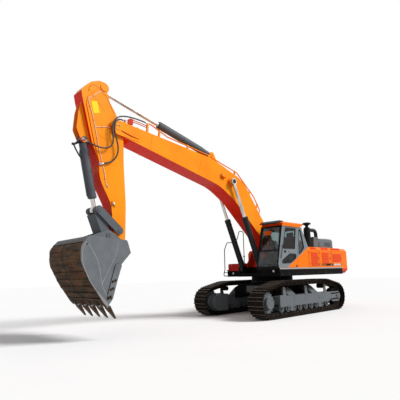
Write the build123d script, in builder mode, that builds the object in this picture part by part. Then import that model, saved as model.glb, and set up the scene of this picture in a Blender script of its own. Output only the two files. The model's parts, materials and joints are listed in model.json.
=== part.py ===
from build123d import *
import os
from math import atan2, cos, hypot, pi, sin, tan

# Crawler excavator of the 50 tonne class, in millimetres.
# +X points forward, along the boom, +Y to the cab's side and +Z up.
# The origin lies on the ground, on the slewing axis.

# Clearances
pin_gap = 0.3       # round a pin in its bore, and between seated pieces
side_gap = 5        # between pieces that turn past each other
ring_gap = 0.3      # between the two rings of the slewing bearing

# Undercarriage
gauge = 2610                # between the middles of the two tracks
shoe_width = 600
tumbler_spacing = 4376      # sprocket axis to idler axis
track_end_radius = 520      # from those axes to the shoes' tips
track_top_height = 1222     # tips of the shoes over the carrier rollers
carrier_spacing = 1330      # from the middle carrier roller to its neighbours
carrier_bend_radius = 330   # of the track's outside over a carrier roller
link_count = 48             # links, and so shoes, in one track
grouser_height = 36
grouser_base = 32
shoe_thickness = 16
shoe_gap = 8
seam_depth = 8              # between two shoes
pin_level = 112             # from the shoes' tips to the links' pins
link_height = 135           # from the shoe down to the rail that the rollers run on
link_inner = 55             # from the track's middle to a link's inner face
link_outer = 115
roller_radius = 110
carrier_radius = 85
roller_half_length = 148
frame_half_width = 190
frame_plate = 40            # fork, collars and brackets
frame_floor = 440
frame_bottom = 350
roller_count = 9
roller_pitch = 365
first_roller_x = -1460
guide_x = (-912.5, 912.5)   # chain guides, half way between rollers
roller_shaft_radius = 40
carrier_shaft_radius = 35
idler_shaft_radius = 50
sprocket_teeth = 23
sprocket_root = 370
sprocket_tip = 425
sprocket_half_width = 45
final_drive_radius = 235
motor_guard_inner = 850     # from the middle of the machine
frame_top = 700
guard_reach = 40            # of the front guards beyond the side frame
saddle_reach = 100          # of the legs' saddles beyond the track's middle
frame_front = 1640
frame_rear = -1640
car_body_half_length = 1050
car_body_half_width = 800
car_body_bottom = 740
car_body_top = 1100
leg_place = 750
leg_width = 420
leg_top = 960
leg_bottom = 560
slew_ring_radius = 790
slew_ring_height = 130

# Upper frame
house_bottom = 1370
house_half_width = 1495
deck_height = 1600
skirt_top = 1650
tail_radius = 3700
counterweight_front = -2880
counterweight_top = 2400
hood_height = 2420          # top of the side housings
shoulder_drop = 120         # bevel along the housings' outer top edge
shoulder_inset = 95
louvre_reach = 17
centre_half_width = 560     # half the gap that the boom stands in
left_deck_front = 1500
right_deck_front = 950
engine_seat = 1700
engine_half_width = 600
housing_inner = 620
housing_wall = 40
left_housing_front = -340
pump_housing_front = -1720
fuel_tank_front = -380
fuel_tank_rear = -1260
door_thickness = 35
door_gap = 9
hinge_inset = 40
hood_rear = -2850
hood_front = -1700
hood_right = 880
hood_left = 1150
hood_top = 2820
cleaner_place = (-800, 1200)
toolbox_rear = 380
toolbox_outer = 1430
toolbox_top = 1790
lid_height = 90
rail_pipe_radius = 17

# Cab
cab_inner_side = 560
cab_wall = 45
cab_rear = -320
cab_sill = 1660
door_top = 3085
cab_top = 3170
roof_height = 92
door_hinge_x = 445

# Attachment, pins at rest as x and z
boom_foot = (300, 2500)
boom_tip = (7070, 5620)
lift_base = (1200, 1650)        # boom cylinder on the upper frame
lift_eye = (2520, 4700)         # its rod's eye on the boom
arm_push_base = (3250, 5600)    # arm cylinder on the boom
arm_push_eye = (7480, 6680)     # its rod's eye on the arm
curl_base = (7965, 5130)        # bucket cylinder on the arm
curl_eye = (7570, 3250)         # pin that the guide links and the bucket link share
guide_pin = (6960, 2720)
bucket_pin = (6900, 2285)
link_pin = (7300, 2580)         # bucket link on the bucket
boom_half_width = 300
boom_foot_half_width = 395
boom_foot_radius = 200
boom_nose_radius = 195
arm_half_width = 225
arm_plate = 30
lift_cylinder_side = 425        # from the middle to a boom cylinder's axis
lift_pin_radius = 60
foot_pin_radius = 75
tip_pin_radius = 65
bucket_pin_radius = 60
eye_half_width = 75             # of the arm's and the bucket's cylinder
guide_link_thickness = 50
tooth_pitch = 385
tooth_reach = 415
bucket_half_width = 890
bucket_plate = 35
ear_inner = 230                 # bucket ears, from the middle
ear_outer = 290
wear_bar_width = 60
wear_bar_height = 20
side_cutter = 25
tooth_width = 124
tooth_tip_width = 84
boom_pipe_side = 276        # from the middle to the pipes on the boom
boom_pipe_radius = 20
arm_pipe_radius = 10
hose_radius = 16
ferrule_radius = 22


def store(piece, name):
    """Labels a finished piece and writes its file."""
    piece.part.label = name
    export_step(piece.part, f"parts/{name}.step")


def pipe(points, radius, bend):
    """Sweeps a round pipe along places joined by straight runs, with the same bend at each."""
    with BuildLine() as route:
        FilletPolyline(*points, radius=bend)
    with BuildSketch(Plane(origin=route.line @ 0, z_dir=route.line % 0)) as section:
        Circle(radius)
    sweep(section.sketch, path=route.line)


def side_outline(points, y_low, y_high, mode=Mode.ADD):
    """Extrudes an outline of x and z, from y_low to y_high. A third column is the corner's radius."""
    radii = [point[2] if len(point) > 2 else 0 for point in points]
    with BuildSketch(Plane.XZ.offset(-y_high)) as outline:
        with BuildLine():
            if any(radii):
                FilletPolyline(*[point[:2] for point in points], radius=radii, close=True)
            else:
                Polyline(*points, close=True)
        make_face()
    extrude(outline.sketch, amount=y_high - y_low, mode=mode)


def plan_outline(points, z_low, z_high, mode=Mode.ADD):
    """Extrudes an outline of x and y, from z_low to z_high."""
    with BuildSketch(Plane.XY.offset(z_low)) as outline:
        with BuildLine():
            Polyline(*points, close=True)
        make_face()
    extrude(outline.sketch, amount=z_high - z_low, mode=mode)


def front_outline(points, x_low, x_high, mode=Mode.ADD):
    """Extrudes an outline of y and z, from x_low to x_high."""
    with BuildSketch(Plane.YZ.offset(x_low)) as outline:
        with BuildLine():
            Polyline(*points, close=True)
        make_face()
    extrude(outline.sketch, amount=x_high - x_low, mode=mode)


def block(x_low, x_high, y_low, y_high, z_low, z_high, mode=Mode.ADD):
    """A box given by its limits."""
    with Locations(((x_low + x_high) / 2, (y_low + y_high) / 2, (z_low + z_high) / 2)):
        Box(x_high - x_low, y_high - y_low, z_high - z_low, mode=mode)


def cross_pin(place, radius, y_low, y_high, mode=Mode.ADD):
    """A cylinder along Y about a pin's place."""
    with Locations(Plane(origin=(place[0], y_low, place[1]), x_dir=(1, 0, 0), z_dir=(0, 1, 0))):
        height = y_high - y_low
        Cylinder(radius, height, align=(Align.CENTER, Align.CENTER, Align.MIN), mode=mode)


def shaft(start, end, y, radius, mode=Mode.ADD):
    """A cylinder from one place to another, both given as x and z, at one y."""
    along = (end[0] - start[0], 0, end[1] - start[1])
    with Locations(Plane(origin=(start[0], y, start[1]), x_dir=(0, 1, 0), z_dir=along)):
        height = hypot(along[0], along[2])
        Cylinder(radius, height, align=(Align.CENTER, Align.CENTER, Align.MIN), mode=mode)


def between(start, end, distance):
    """The place at a distance from start towards end."""
    share = distance / hypot(end[0] - start[0], end[1] - start[1])
    return (start[0] + share * (end[0] - start[0]), start[1] + share * (end[1] - start[1]))


def beyond(start, end, along, out):
    """A place measured from start towards end, and out to the left of that line."""
    run = hypot(end[0] - start[0], end[1] - start[1])
    step_x, step_z = (end[0] - start[0]) / run, (end[1] - start[1]) / run
    return (start[0] + along * step_x - out * step_z, start[1] + along * step_z + out * step_x)


def off(pin, dx, dz, radius=0):
    """A corner of an outline, measured from a pin."""
    return (pin[0] + dx, pin[1] + dz, radius)


def inset(points, distance):
    """Moves each side of a closed outline inwards. Its rounded corners' radii shrink with it."""
    moved = []
    turn = sum(a[0] * b[1] - b[0] * a[1] for a, b in zip(points, points[1:] + points[:1]))
    for before, corner, after in zip(points[-1:] + points[:-1], points, points[1:] + points[:1]):
        in_x, in_z = corner[0] - before[0], corner[1] - before[1]
        out_x, out_z = after[0] - corner[0], after[1] - corner[1]
        in_length = hypot(in_x, in_z) * (1 if turn > 0 else -1)
        out_length = hypot(out_x, out_z) * (1 if turn > 0 else -1)
        normal_in = (-in_z / in_length, in_x / in_length)
        normal_out = (-out_z / out_length, out_x / out_length)
        share = distance / (1 + normal_in[0] * normal_out[0] + normal_in[1] * normal_out[1])
        radius = corner[2] if len(corner) > 2 else 0
        moved.append((corner[0] + share * (normal_in[0] + normal_out[0]),
                      corner[1] + share * (normal_in[1] + normal_out[1]),
                      max(radius - distance, 0) if radius else 0))
    return moved


def band(sign, near, far):
    """The lower and the higher y of a stretch given by its distances from the middle."""
    return sorted((sign * near, sign * far))


def wheel(place, middle, profile, mode=Mode.ADD):
    """Revolves a profile of radius and distance from the wheel's middle about its axle."""
    level = Plane(origin=(place[0], middle, place[1]), x_dir=(1, 0, 0), z_dir=(0, 0, 1))
    with BuildSketch(level) as half:
        with BuildLine():
            Polyline(*profile, close=True)
        make_face()
    axle = Axis((place[0], middle, place[1]), (0, 1, 0))
    revolve(half.sketch, axis=axle, mode=mode)


def belt_lines(circles):
    """Ends of a belt's straight runs about circles, listed anticlockwise as x, z and radius."""
    corners = []
    for (x, z, r), (x_next, z_next, r_next) in zip(circles, circles[1:] + circles[:1]):
        run = hypot(x_next - x, z_next - z)
        along = ((x_next - x) / run, (z_next - z) / run)
        lean = (r - r_next) / run
        flat = (1 - lean**2) ** 0.5
        normal = (along[0] * lean + along[1] * flat, along[1] * lean - along[0] * flat)
        corners.append(((x + r * normal[0], z + r * normal[1]),
                        (x_next + r_next * normal[0], z_next + r_next * normal[1])))
    return corners


def belt(circles, y, half_width, mode=Mode.ADD):
    """Extrudes the outside of a belt about circles."""
    corners = belt_lines(circles)
    with BuildSketch(Plane.XZ.offset(-y)) as outline:
        with BuildLine():
            for i, (x, z, r) in enumerate(circles):
                arrive, leave = corners[i - 1][1], corners[i][0]
                a = atan2(arrive[1] - z, arrive[0] - x)
                b = atan2(leave[1] - z, leave[0] - x)
                middle = (a + (b - a) % (2 * pi) / 2)
                ThreePointArc(arrive, (x + r * cos(middle), z + r * sin(middle)), leave)
                Line(*corners[i])
        make_face()
    extrude(outline.sketch, amount=half_width, both=True, mode=mode)


os.makedirs("parts", exist_ok=True)
sides = (("left", 1), ("right", -1))

# Levels of the track, measured in from the tips of the shoes
plate_level = grouser_height + shoe_thickness
rail_level = plate_level + link_height
axis_x = tumbler_spacing / 2
axis_z = track_end_radius
carrier_x = (-carrier_spacing, 0, carrier_spacing)
roller_z = rail_level + roller_radius + pin_gap
fork_half_width = frame_half_width - frame_plate


def track_circles(level):
    """The circles that the track bends round, at a level inside the tips of the shoes."""
    end, bend = track_end_radius - level, carrier_bend_radius - level
    bend_z = track_top_height - carrier_bend_radius
    return [(axis_x, axis_z, end), (carrier_spacing, bend_z, bend),
            (-carrier_spacing, bend_z, bend), (-axis_x, axis_z, end)]


def track_pins():
    """Places of the links' pins, at equal steps round the track."""
    circles = track_circles(pin_level)
    lines = belt_lines(circles)
    stretches = []
    for i, (x, z, r) in enumerate(circles):
        arrive, (leave, end) = lines[i - 1][1], lines[i]
        start = atan2(arrive[1] - z, arrive[0] - x)
        turn = (atan2(leave[1] - z, leave[0] - x) - start) % (2 * pi)
        stretches.append((r * turn, (x, z, r, start)))
        stretches.append((hypot(end[0] - leave[0], end[1] - leave[1]), (leave, end)))
    step = sum(length for length, _ in stretches) / link_count
    first = -tumbler_spacing / 2 % step
    pins = []
    for i in range(link_count):
        left = first + i * step
        for length, course in stretches:
            if left < length:
                break
            left -= length
        if len(course) == 2:
            pins.append(between(*course, left))
        else:
            x, z, r, start = course
            pins.append((x + r * cos(start + left / r), z + r * sin(start + left / r)))
    return pins


def beside(sign, near, far):
    """The lower and the higher y of a stretch given by its distances from the track's middle."""
    return band(sign, gauge / 2 + near, gauge / 2 + far)


# Tracks, each one closed loop of double grouser shoes on two rails of links
pins = track_pins()
link_pitch = hypot(pins[1][0] - pins[0][0], pins[1][1] - pins[0][1])
shoe_top = pin_level - grouser_height
shoe_end = link_pitch / 2 - shoe_gap
# Stiff links run as chords: nearer to the idlers' axes, and lower at the outer carrier rollers
rail_radius = ((track_end_radius - pin_level)**2 - (link_pitch / 2)**2)**0.5 + pin_level - rail_level
ramp_end, ramp_start = belt_lines(track_circles(pin_level))[0]
ramp_angle = atan2(ramp_start[1] - ramp_end[1], ramp_end[0] - ramp_start[0])
carrier_dip = link_pitch / 2 * tan(ramp_angle / 2)
carrier_z = track_top_height - rail_level - carrier_dip - carrier_radius - pin_gap
# Section of a shoe, as distances along from the middle of its link and out from its pins
shoe_section = [(-shoe_end, shoe_top)]
for grouser in (-link_pitch / 4, link_pitch / 4):
    shoe_section += [(grouser - grouser_base / 2, shoe_top), (grouser, pin_level),
                     (grouser + grouser_base / 2, shoe_top)]
shoe_section += [(shoe_end, shoe_top), (link_pitch / 2, shoe_top - seam_depth)]
shoes = []
for pin, next_pin in zip(pins, pins[1:] + pins[:1]):
    half_run = hypot(next_pin[0] - pin[0], next_pin[1] - pin[1]) / 2
    shoes += [beyond(pin, next_pin, half_run + along, -out) for along, out in shoe_section]
shoe_inside = inset(pins, plate_level - pin_level)
rail_inside = inset(pins, rail_level - pin_level)
for side, sign in sides:
    middle = sign * gauge / 2
    with BuildPart() as track:
        side_outline(shoes, middle - shoe_width / 2, middle + shoe_width / 2)
        side_outline(shoe_inside, middle - shoe_width / 2, middle + shoe_width / 2, Mode.SUBTRACT)
        for rail in (-1, 1):
            low, high = sorted((middle + rail * link_inner, middle + rail * link_outer))
            with BuildPart(mode=Mode.PRIVATE) as links:
                side_outline(shoe_inside, low, high)
                side_outline(rail_inside, low, high, Mode.SUBTRACT)
            add(links.part)
    store(track, f"track_{side}")

# Side frames with the roller collars, the idler's fork and the carrier rollers' brackets
for side, sign in sides:
    with BuildPart() as side_frame:
        block(frame_rear, frame_front, *beside(sign, -frame_half_width, frame_half_width),
              frame_floor, frame_top)
        for near, far in ((-frame_half_width, -fork_half_width), (fork_half_width, frame_half_width)):
            low, high = beside(sign, near, far)
            block(frame_rear, frame_front, low, high, frame_bottom, frame_floor)
            for i in range(roller_count):
                x = first_roller_x + i * roller_pitch
                block(x - 60, x + 60, low, high, roller_z - 60, frame_bottom)
            # Chain guides between the rollers
            for x in guide_x:
                block(x - 95, x + 95, low, high, rail_level + side_gap, frame_bottom)
            # Fork of the idler, slotted over and under its axle
            side_outline([(frame_rear, frame_floor), (frame_rear, frame_top),
                          (-axis_x - 170, frame_top, 60), (-axis_x - 300, frame_top - 140, 60),
                          (-axis_x - 300, axis_z - 60, 60), (-axis_x - 150, 320, 60),
                          (frame_rear - 260, 320, 60)], low, high)
            for z in (axis_z - 105, axis_z + 105):
                side_outline([(frame_rear - 110, z - 24, 20), (frame_rear - 110, z + 24, 20),
                              (-axis_x - 190, z + 24, 20), (-axis_x - 190, z - 24, 20)], low, high,
                             Mode.SUBTRACT)
        # Plate that carries the final drive, inboard
        low, high = beside(sign, -frame_half_width, -fork_half_width)
        belt([(axis_x, axis_z, final_drive_radius), (frame_front - 140, frame_top - 130, 130)],
             (low + high) / 2, frame_plate / 2)
        # Guard in front of the frame, outboard
        low, high = beside(sign, fork_half_width, frame_half_width + guard_reach)
        side_outline([(frame_front - 230, frame_bottom), (frame_front - 230, frame_top - 30),
                      (frame_front - 170, frame_top + 40), (frame_front - 30, frame_top + 40),
                      (frame_front, frame_top), (frame_front, frame_bottom)], low, high)
        # Saddles that carry the car body's legs on
        inner, outer = sign * (gauge / 2 - frame_half_width), sign * (gauge / 2 + saddle_reach)
        for x in (-leg_place, leg_place):
            front_outline([(inner, frame_top), (inner, leg_top), (outer, frame_top + 20),
                           (outer, frame_top)], x - leg_width / 2, x + leg_width / 2)
        # Hooked brackets of the carrier rollers, outboard
        low, high = beside(sign, fork_half_width, frame_half_width)
        for x in carrier_x:
            side_outline([(x - 130, frame_top), (x - 60, carrier_z - 80), (x - 60, carrier_z),
                          (x + 60, carrier_z), (x + 60, frame_top)], low, high)
            cross_pin((x, carrier_z), 60, low, high)
            cross_pin((x, carrier_z), carrier_shaft_radius + pin_gap, low, high, Mode.SUBTRACT)
        for near, far in ((-frame_half_width, -fork_half_width), (fork_half_width, frame_half_width)):
            low, high = beside(sign, near, far)
            for i in range(roller_count):
                place = (first_roller_x + i * roller_pitch, roller_z)
                cross_pin(place, roller_shaft_radius + pin_gap, low, high, Mode.SUBTRACT)
            cross_pin((-axis_x, axis_z), idler_shaft_radius + pin_gap, low, high, Mode.SUBTRACT)
    store(side_frame, f"side_frame_{side}")

# Rollers under the side frames
with BuildPart() as track_rollers:
    for side, sign in sides:
        for i in range(roller_count):
            half_profile = [(roller_shaft_radius, frame_half_width),
                            (roller_shaft_radius, roller_half_length),
                            (roller_radius + 18, roller_half_length),
                            (roller_radius + 18, link_outer + 5),
                            (roller_radius, link_outer + 5)]
            profile = [(0, frame_half_width)] + half_profile
            profile += [(r, -d) for r, d in reversed(profile)]
            wheel((first_roller_x + i * roller_pitch, roller_z), sign * gauge / 2, profile)
store(track_rollers, "track_rollers")

# Carrier rollers under the track's upper run
with BuildPart() as carrier_rollers:
    for side, sign in sides:
        for x in carrier_x:
            wheel((x, carrier_z), sign * gauge / 2,
                  [(0, -sign * 130), (carrier_radius, -sign * 130), (carrier_radius, sign * 130),
                   (carrier_shaft_radius, sign * 130), (carrier_shaft_radius, sign * frame_half_width),
                   (0, sign * frame_half_width)])
store(carrier_rollers, "carrier_rollers")

# Idlers at the rear
with BuildPart() as idlers:
    for side, sign in sides:
        profile = [(0, frame_half_width), (idler_shaft_radius, frame_half_width),
                   (idler_shaft_radius, fork_half_width - pin_gap),
                   (120, fork_half_width - pin_gap), (120, 30), (rail_radius - 70, 30),
                   (rail_radius - 70, link_outer), (rail_radius - pin_gap, link_outer),
                   (rail_radius - pin_gap, link_inner - side_gap),
                   (rail_radius + 19, link_inner - side_gap)]
        profile += [(r, -d) for r, d in reversed(profile)]
        wheel((-axis_x, axis_z), sign * gauge / 2, profile)
store(idlers, "idlers")

# Sprockets at the front, on their final drives
tooth_angle = 2 * pi / sprocket_teeth
with BuildPart() as sprockets:
    for side, sign in sides:
        middle = sign * gauge / 2
        rim = []
        for i in range(sprocket_teeth):
            for share, radius in ((-0.3, sprocket_root), (-0.12, sprocket_tip),
                                  (0.12, sprocket_tip), (0.3, sprocket_root)):
                angle = (i + share) * tooth_angle
                rim.append((axis_x + radius * cos(angle), axis_z + radius * sin(angle)))
        side_outline(rim, middle - sprocket_half_width, middle + sprocket_half_width)
        hub = [(0, -fork_half_width), (final_drive_radius, -fork_half_width),
               (final_drive_radius, 120), (final_drive_radius - 25, 150),
               (final_drive_radius - 25, 235), (final_drive_radius - 45, 255),
               (final_drive_radius - 80, 255), (final_drive_radius - 90, 245), (0, 245)]
        wheel((axis_x, axis_z), middle, [(r, sign * d) for r, d in hub])
store(sprockets, "sprockets")

# Covers over the travel motors, inboard of the side frames
with BuildPart() as motor_guards:
    for side, sign in sides:
        cover = [(axis_x - 590, 150, 40), (axis_x - 590, 790, 40), (axis_x + 60, 790, 300),
                 (axis_x + 210, 470, 300), (axis_x + 60, 150, 300)]
        frame_face = gauge / 2 - frame_half_width
        side_outline(cover, *band(sign, frame_face - 20, frame_face))
        side_outline(inset(cover, 25), *band(sign, motor_guard_inner, frame_face))
store(motor_guards, "motor_guards")

# Car body: centre box and four legs out to the side frames
with BuildPart() as car_body:
    block(-car_body_half_length, car_body_half_length, -car_body_half_width, car_body_half_width,
          car_body_bottom, car_body_top)
    block(-car_body_half_length - 40, car_body_half_length + 40, -car_body_half_width,
          car_body_half_width, car_body_top - 30, car_body_top)
    for side, sign in sides:
        for x in (-leg_place, leg_place):
            leg = [(300, car_body_top), (car_body_half_width, car_body_top),
                   (gauge / 2 - frame_half_width, leg_top), (gauge / 2 - frame_half_width, leg_bottom),
                   (car_body_half_width, leg_bottom + 40), (300, car_body_bottom)]
            front_outline([(sign * y, z) for y, z in leg], x - leg_width / 2, x + leg_width / 2)
store(car_body, "car_body")

# Slewing ring on the car body
with BuildPart() as slew_ring:
    with Locations((0, 0, car_body_top)):
        Cylinder(slew_ring_radius, slew_ring_height, align=(Align.CENTER, Align.CENTER, Align.MIN))
        Cylinder(slew_ring_radius - 130, slew_ring_height,
                 align=(Align.CENTER, Align.CENTER, Align.MIN), mode=Mode.SUBTRACT)
store(slew_ring, "slew_ring")

# Main frame of the house
ring_top = car_body_top + slew_ring_height + ring_gap
side_outer = house_half_width - 15
longeron_inner = boom_foot_half_width + side_gap
longeron_outer = longeron_inner + 50
lift_eye_inner = lift_cylinder_side - 60
lift_eye_outer = lift_cylinder_side + 60
with BuildPart() as main_frame:
    with Locations((0, 0, ring_top)):
        Cylinder(slew_ring_radius, house_bottom - ring_top,
                 align=(Align.CENTER, Align.CENTER, Align.MIN))
        Cylinder(slew_ring_radius - 130, house_bottom - ring_top,
                 align=(Align.CENTER, Align.CENTER, Align.MIN), mode=Mode.SUBTRACT)
    block(counterweight_front, left_deck_front, centre_half_width, side_outer,
          house_bottom, deck_height)
    block(counterweight_front, right_deck_front, -side_outer, -centre_half_width,
          house_bottom, deck_height)
    block(counterweight_front, lift_base[0] + 180, -centre_half_width, centre_half_width,
          house_bottom, house_bottom + 40)
    block(lift_base[0] - 330, lift_base[0] + 180, -centre_half_width, centre_half_width,
          house_bottom, lift_base[1] - 150)
    # Grey strip under the side housings
    block(counterweight_front, cab_rear - 10, side_outer - 200, house_half_width,
          deck_height, skirt_top)
    block(counterweight_front, toolbox_rear - 10, -house_half_width, -side_outer + 200,
          deck_height, skirt_top)
    for side, sign in sides:
        # Longerons with the ears of the boom's foot
        low, high = band(sign, longeron_inner, longeron_outer)
        side_outline([(counterweight_front, house_bottom), (counterweight_front, engine_seat),
                      (-1400, engine_seat), (-150, boom_foot[1] - 400), off(boom_foot, -170, 60),
                      off(boom_foot, 170, 60), (lift_base[0] - 260, 1850),
                      (lift_base[0] - 260, house_bottom)], low, high)
        cross_pin(boom_foot, boom_foot_radius, low, high)
        # Lugs of the boom cylinders
        for near, far in ((boom_half_width + side_gap, lift_eye_inner - side_gap),
                          (lift_eye_outer + side_gap, centre_half_width - 10)):
            low, high = band(sign, near, far)
            block(lift_base[0] - 150, lift_base[0] + 110, low, high, house_bottom, lift_base[1])
            cross_pin(lift_base, 125, low, high)
        low, high = band(sign, boom_half_width + side_gap, centre_half_width - 10)
        cross_pin(lift_base, lift_pin_radius, low, high)
    cross_pin(boom_foot, foot_pin_radius, -longeron_outer, longeron_outer)
store(main_frame, "main_frame")

# Counterweight
corner_x = -(tail_radius**2 - side_outer**2) ** 0.5
with BuildPart() as counterweight:
    with BuildSketch(Plane.XY.offset(house_bottom + 30)):
        with BuildLine():
            Polyline((corner_x, -side_outer), (counterweight_front, -side_outer),
                     (counterweight_front, side_outer), (corner_x, side_outer))
            ThreePointArc((corner_x, side_outer), (-tail_radius, 0), (corner_x, -side_outer))
        make_face()
    extrude(amount=counterweight_top - house_bottom - 30)
    upright = counterweight.edges().filter_by(Axis.Z).sort_by(Axis.X)[:2]
    fillet(upright, 160)
    rear_low = counterweight.faces().sort_by(Axis.Z)[0].edges().sort_by(Axis.X)[:3]
    chamfer(rear_low, 130)
    rear_high = counterweight.faces().sort_by(Axis.Z)[-1].edges().sort_by(Axis.X)[:3]
    chamfer(rear_high, shoulder_inset)
    # Lifting eyes
    for y in (-engine_half_width, engine_half_width):
        side_outline([(-tail_radius + 330, counterweight_top - 1), (-tail_radius + 360, counterweight_top + 70),
                      (-tail_radius + 450, counterweight_top + 70), (-tail_radius + 480, counterweight_top - 1)],
                     y - 25, y + 25)
        cross_pin((-tail_radius + 405, counterweight_top + 30), 22, y - 26, y + 26, Mode.SUBTRACT)
store(counterweight, "counterweight")

# Engine, one plain block on the longerons
with BuildPart() as engine_block:
    block(hood_rear + 150, hood_front - 120, -engine_half_width, engine_half_width,
          engine_seat, hood_top - 150)
store(engine_block, "engine_block")

# Side housings, open to their doors
hinge_radius = 10
shoulder_height = hood_height - shoulder_drop
door_header = shoulder_height - side_gap * 2
housing_section = [(housing_inner, skirt_top), (house_half_width, skirt_top),
                   (house_half_width, shoulder_height),
                   (house_half_width - shoulder_inset, hood_height), (housing_inner, hood_height)]
inside_section = inset(housing_section, housing_wall)
header_y = inside_section[2][0]
# Groups of louvres by the door that carries them: front, rear, lowest, highest, number of slats
door_louvres = ((-510, -980, 1720, 2240, 9), (-1290, -1810, 1810, 2240, 7),
                (-2080, -2780, 1860, 2200, 6), (-1900, -2700, 1860, 2240, 7))
shoulder_louvres = {"left_housing": ((-520, -980), (-1320, -1870), (-2080, -2810)), "pump_housing": ()}
# name, sign, front, posts between the doors
housings = (("left_housing", 1, left_housing_front, (-1080, -1970)),
            ("pump_housing", -1, pump_housing_front, ()))
door_number = 0
for name, sign, front, posts in housings:
    rear = counterweight_front + 10
    inner_wall = housing_inner + housing_wall
    edges = [front - housing_wall, *posts, rear + housing_wall]
    hinge_y = sign * (house_half_width - door_thickness / 2)
    with BuildPart() as housing:
        front_outline([(sign * y, z) for y, z in housing_section], rear, front)
        front_outline([(sign * y, z) for y, z, _ in inside_section], rear + housing_wall,
                      front - housing_wall, Mode.SUBTRACT)
        block(rear + housing_wall, front - housing_wall, *band(sign, header_y - 1, house_half_width + 1),
              skirt_top + housing_wall, door_header, mode=Mode.SUBTRACT)
        for post in posts:
            block(post - 15, post + 15, *band(sign, inner_wall, house_half_width - door_thickness - 30),
                  skirt_top + housing_wall, door_header)
        for edge in edges[:-1]:
            for z in (skirt_top + housing_wall, door_header - 60):
                with Locations((edge - door_gap - hinge_inset, hinge_y, z)):
                    Cylinder(hinge_radius, 60, align=(Align.CENTER, Align.CENTER, Align.MIN))
        # Louvres in the shoulder
        low_corner, high_corner = housing_section[2], housing_section[3]
        for x_front, x_rear in shoulder_louvres[name]:
            for along in (40, 72, 104):
                slat = [beyond(low_corner, high_corner, along, 1), beyond(low_corner, high_corner, along, -10),
                        beyond(low_corner, high_corner, along + 6, -10),
                        beyond(low_corner, high_corner, along + 24, 1)]
                front_outline([(sign * y, z) for y, z in slat], x_rear, x_front)
    store(housing, name)
    for i, edge in enumerate(edges[:-1]):
        with BuildPart() as door:
            block(edges[i + 1] + door_gap, edge - door_gap,
                  *band(sign, house_half_width - door_thickness, house_half_width),
                  skirt_top + housing_wall + side_gap, door_header - side_gap)
            for z in (skirt_top + housing_wall, door_header - 60 - pin_gap):
                with Locations((edge - door_gap - hinge_inset, hinge_y, z)):
                    Cylinder(hinge_radius + pin_gap, 60 + pin_gap,
                             align=(Align.CENTER, Align.CENTER, Align.MIN), mode=Mode.SUBTRACT)
            x_front, x_rear, lowest, highest, number = door_louvres[door_number]
            for k in range(number):
                z = lowest + k * (highest - lowest) / number
                slat = [(house_half_width - 1, z), (house_half_width + louvre_reach, z),
                        (house_half_width + louvre_reach, z + 6), (house_half_width - 1, z + 40)]
                front_outline([(sign * y, z) for y, z in slat], x_rear, x_front)
        door_name = ("left_door_front", "left_door_middle", "left_door_rear", "right_door")
        store(door, door_name[door_number])
        door_number += 1

# Tanks on the right deck: fuel in front, hydraulic oil behind
with BuildPart() as tanks:
    tank_section = [(-y, z) for y, z in housing_section]
    front_outline(tank_section, fuel_tank_rear, fuel_tank_front)
    front_outline(tank_section, pump_housing_front + 20, fuel_tank_rear - 20)
    block(fuel_tank_rear - 20, fuel_tank_rear, -house_half_width + 60, -housing_inner - 60,
          skirt_top, shoulder_height)
    # Filler caps
    for x in ((fuel_tank_front + fuel_tank_rear) / 2, (pump_housing_front + fuel_tank_rear) / 2):
        with Locations((x, -(housing_inner + house_half_width) / 2, hood_height - 1)):
            Cylinder(70, 46, align=(Align.CENTER, Align.CENTER, Align.MIN))
store(tanks, "right_tanks")

# Cover over the valves, between the housings
with BuildPart() as centre_cover:
    block(hood_front + 10, left_housing_front, -housing_inner, housing_inner,
          hood_height - 130, hood_height - 90)
    block(left_housing_front - 40, left_housing_front, -longeron_inner + 5, longeron_inner - 5,
          2000, hood_height - 90)
store(centre_cover, "centre_cover")

# Engine hood, hinged at its rear edge
with BuildPart() as engine_hood:
    hood_foot = hood_height + pin_gap
    hood_outline = [(hood_rear, hood_foot), (hood_rear, hood_top, 110), (hood_front - 190, hood_top, 110),
                    (hood_front, hood_top - 130, 90), (hood_front, hood_foot)]
    side_outline(hood_outline, -hood_right, hood_left)
    chamfer(engine_hood.faces().sort_by(Axis.Z)[-1].edges().filter_by(Axis.X), 50)
    side_outline(inset([(hood_rear, hood_foot - 60), *hood_outline[1:-1], (hood_front, hood_foot - 60)], 30),
                 -hood_right + 30, hood_left - 30, Mode.SUBTRACT)
    # Slats over the fan, and beads pressed along the top
    for k in range(7):
        x = hood_rear + 200 + k * 70
        side_outline([(x, hood_top - 1), (x, hood_top + 18), (x + 8, hood_top + 18), (x + 45, hood_top - 1)],
                     hood_left - 560, hood_left - 120)
    for y in (-hood_right + 250, -hood_right + 520, -hood_right + 790):
        block(hood_rear + 180, hood_front - 300, y - 35, y + 35, hood_top - 1, hood_top + 12)
store(engine_hood, "engine_hood")

# Air cleaner and its pipe into the engine's housing, on the left housing
with BuildPart() as air_cleaner:
    # Body, neck and rain cap in one turned profile of radius and height
    turned = [(0, 0), (130, 0), (130, 740), (60, 800), (60, 850), (95, 860), (95, 880), (168, 900),
              (168, 930), (120, 965), (0, 975)]
    with BuildSketch(Plane(origin=(*cleaner_place, hood_height), x_dir=(1, 0, 0), z_dir=(0, -1, 0))) as half:
        with BuildLine():
            Polyline(*turned, close=True)
        make_face()
    revolve(half.sketch, axis=Axis((*cleaner_place, hood_height), (0, 0, 1)))
    for height in (120, 600):
        with Locations((*cleaner_place, hood_height + height)):
            Cylinder(138, 40, align=(Align.CENTER, Align.CENTER, Align.MIN))
    block(cleaner_place[0] - 540, cleaner_place[0] - 190, cleaner_place[1] - 150, cleaner_place[1] + 150,
          hood_height, hood_height + 410)
store(air_cleaner, "air_cleaner")

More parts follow.
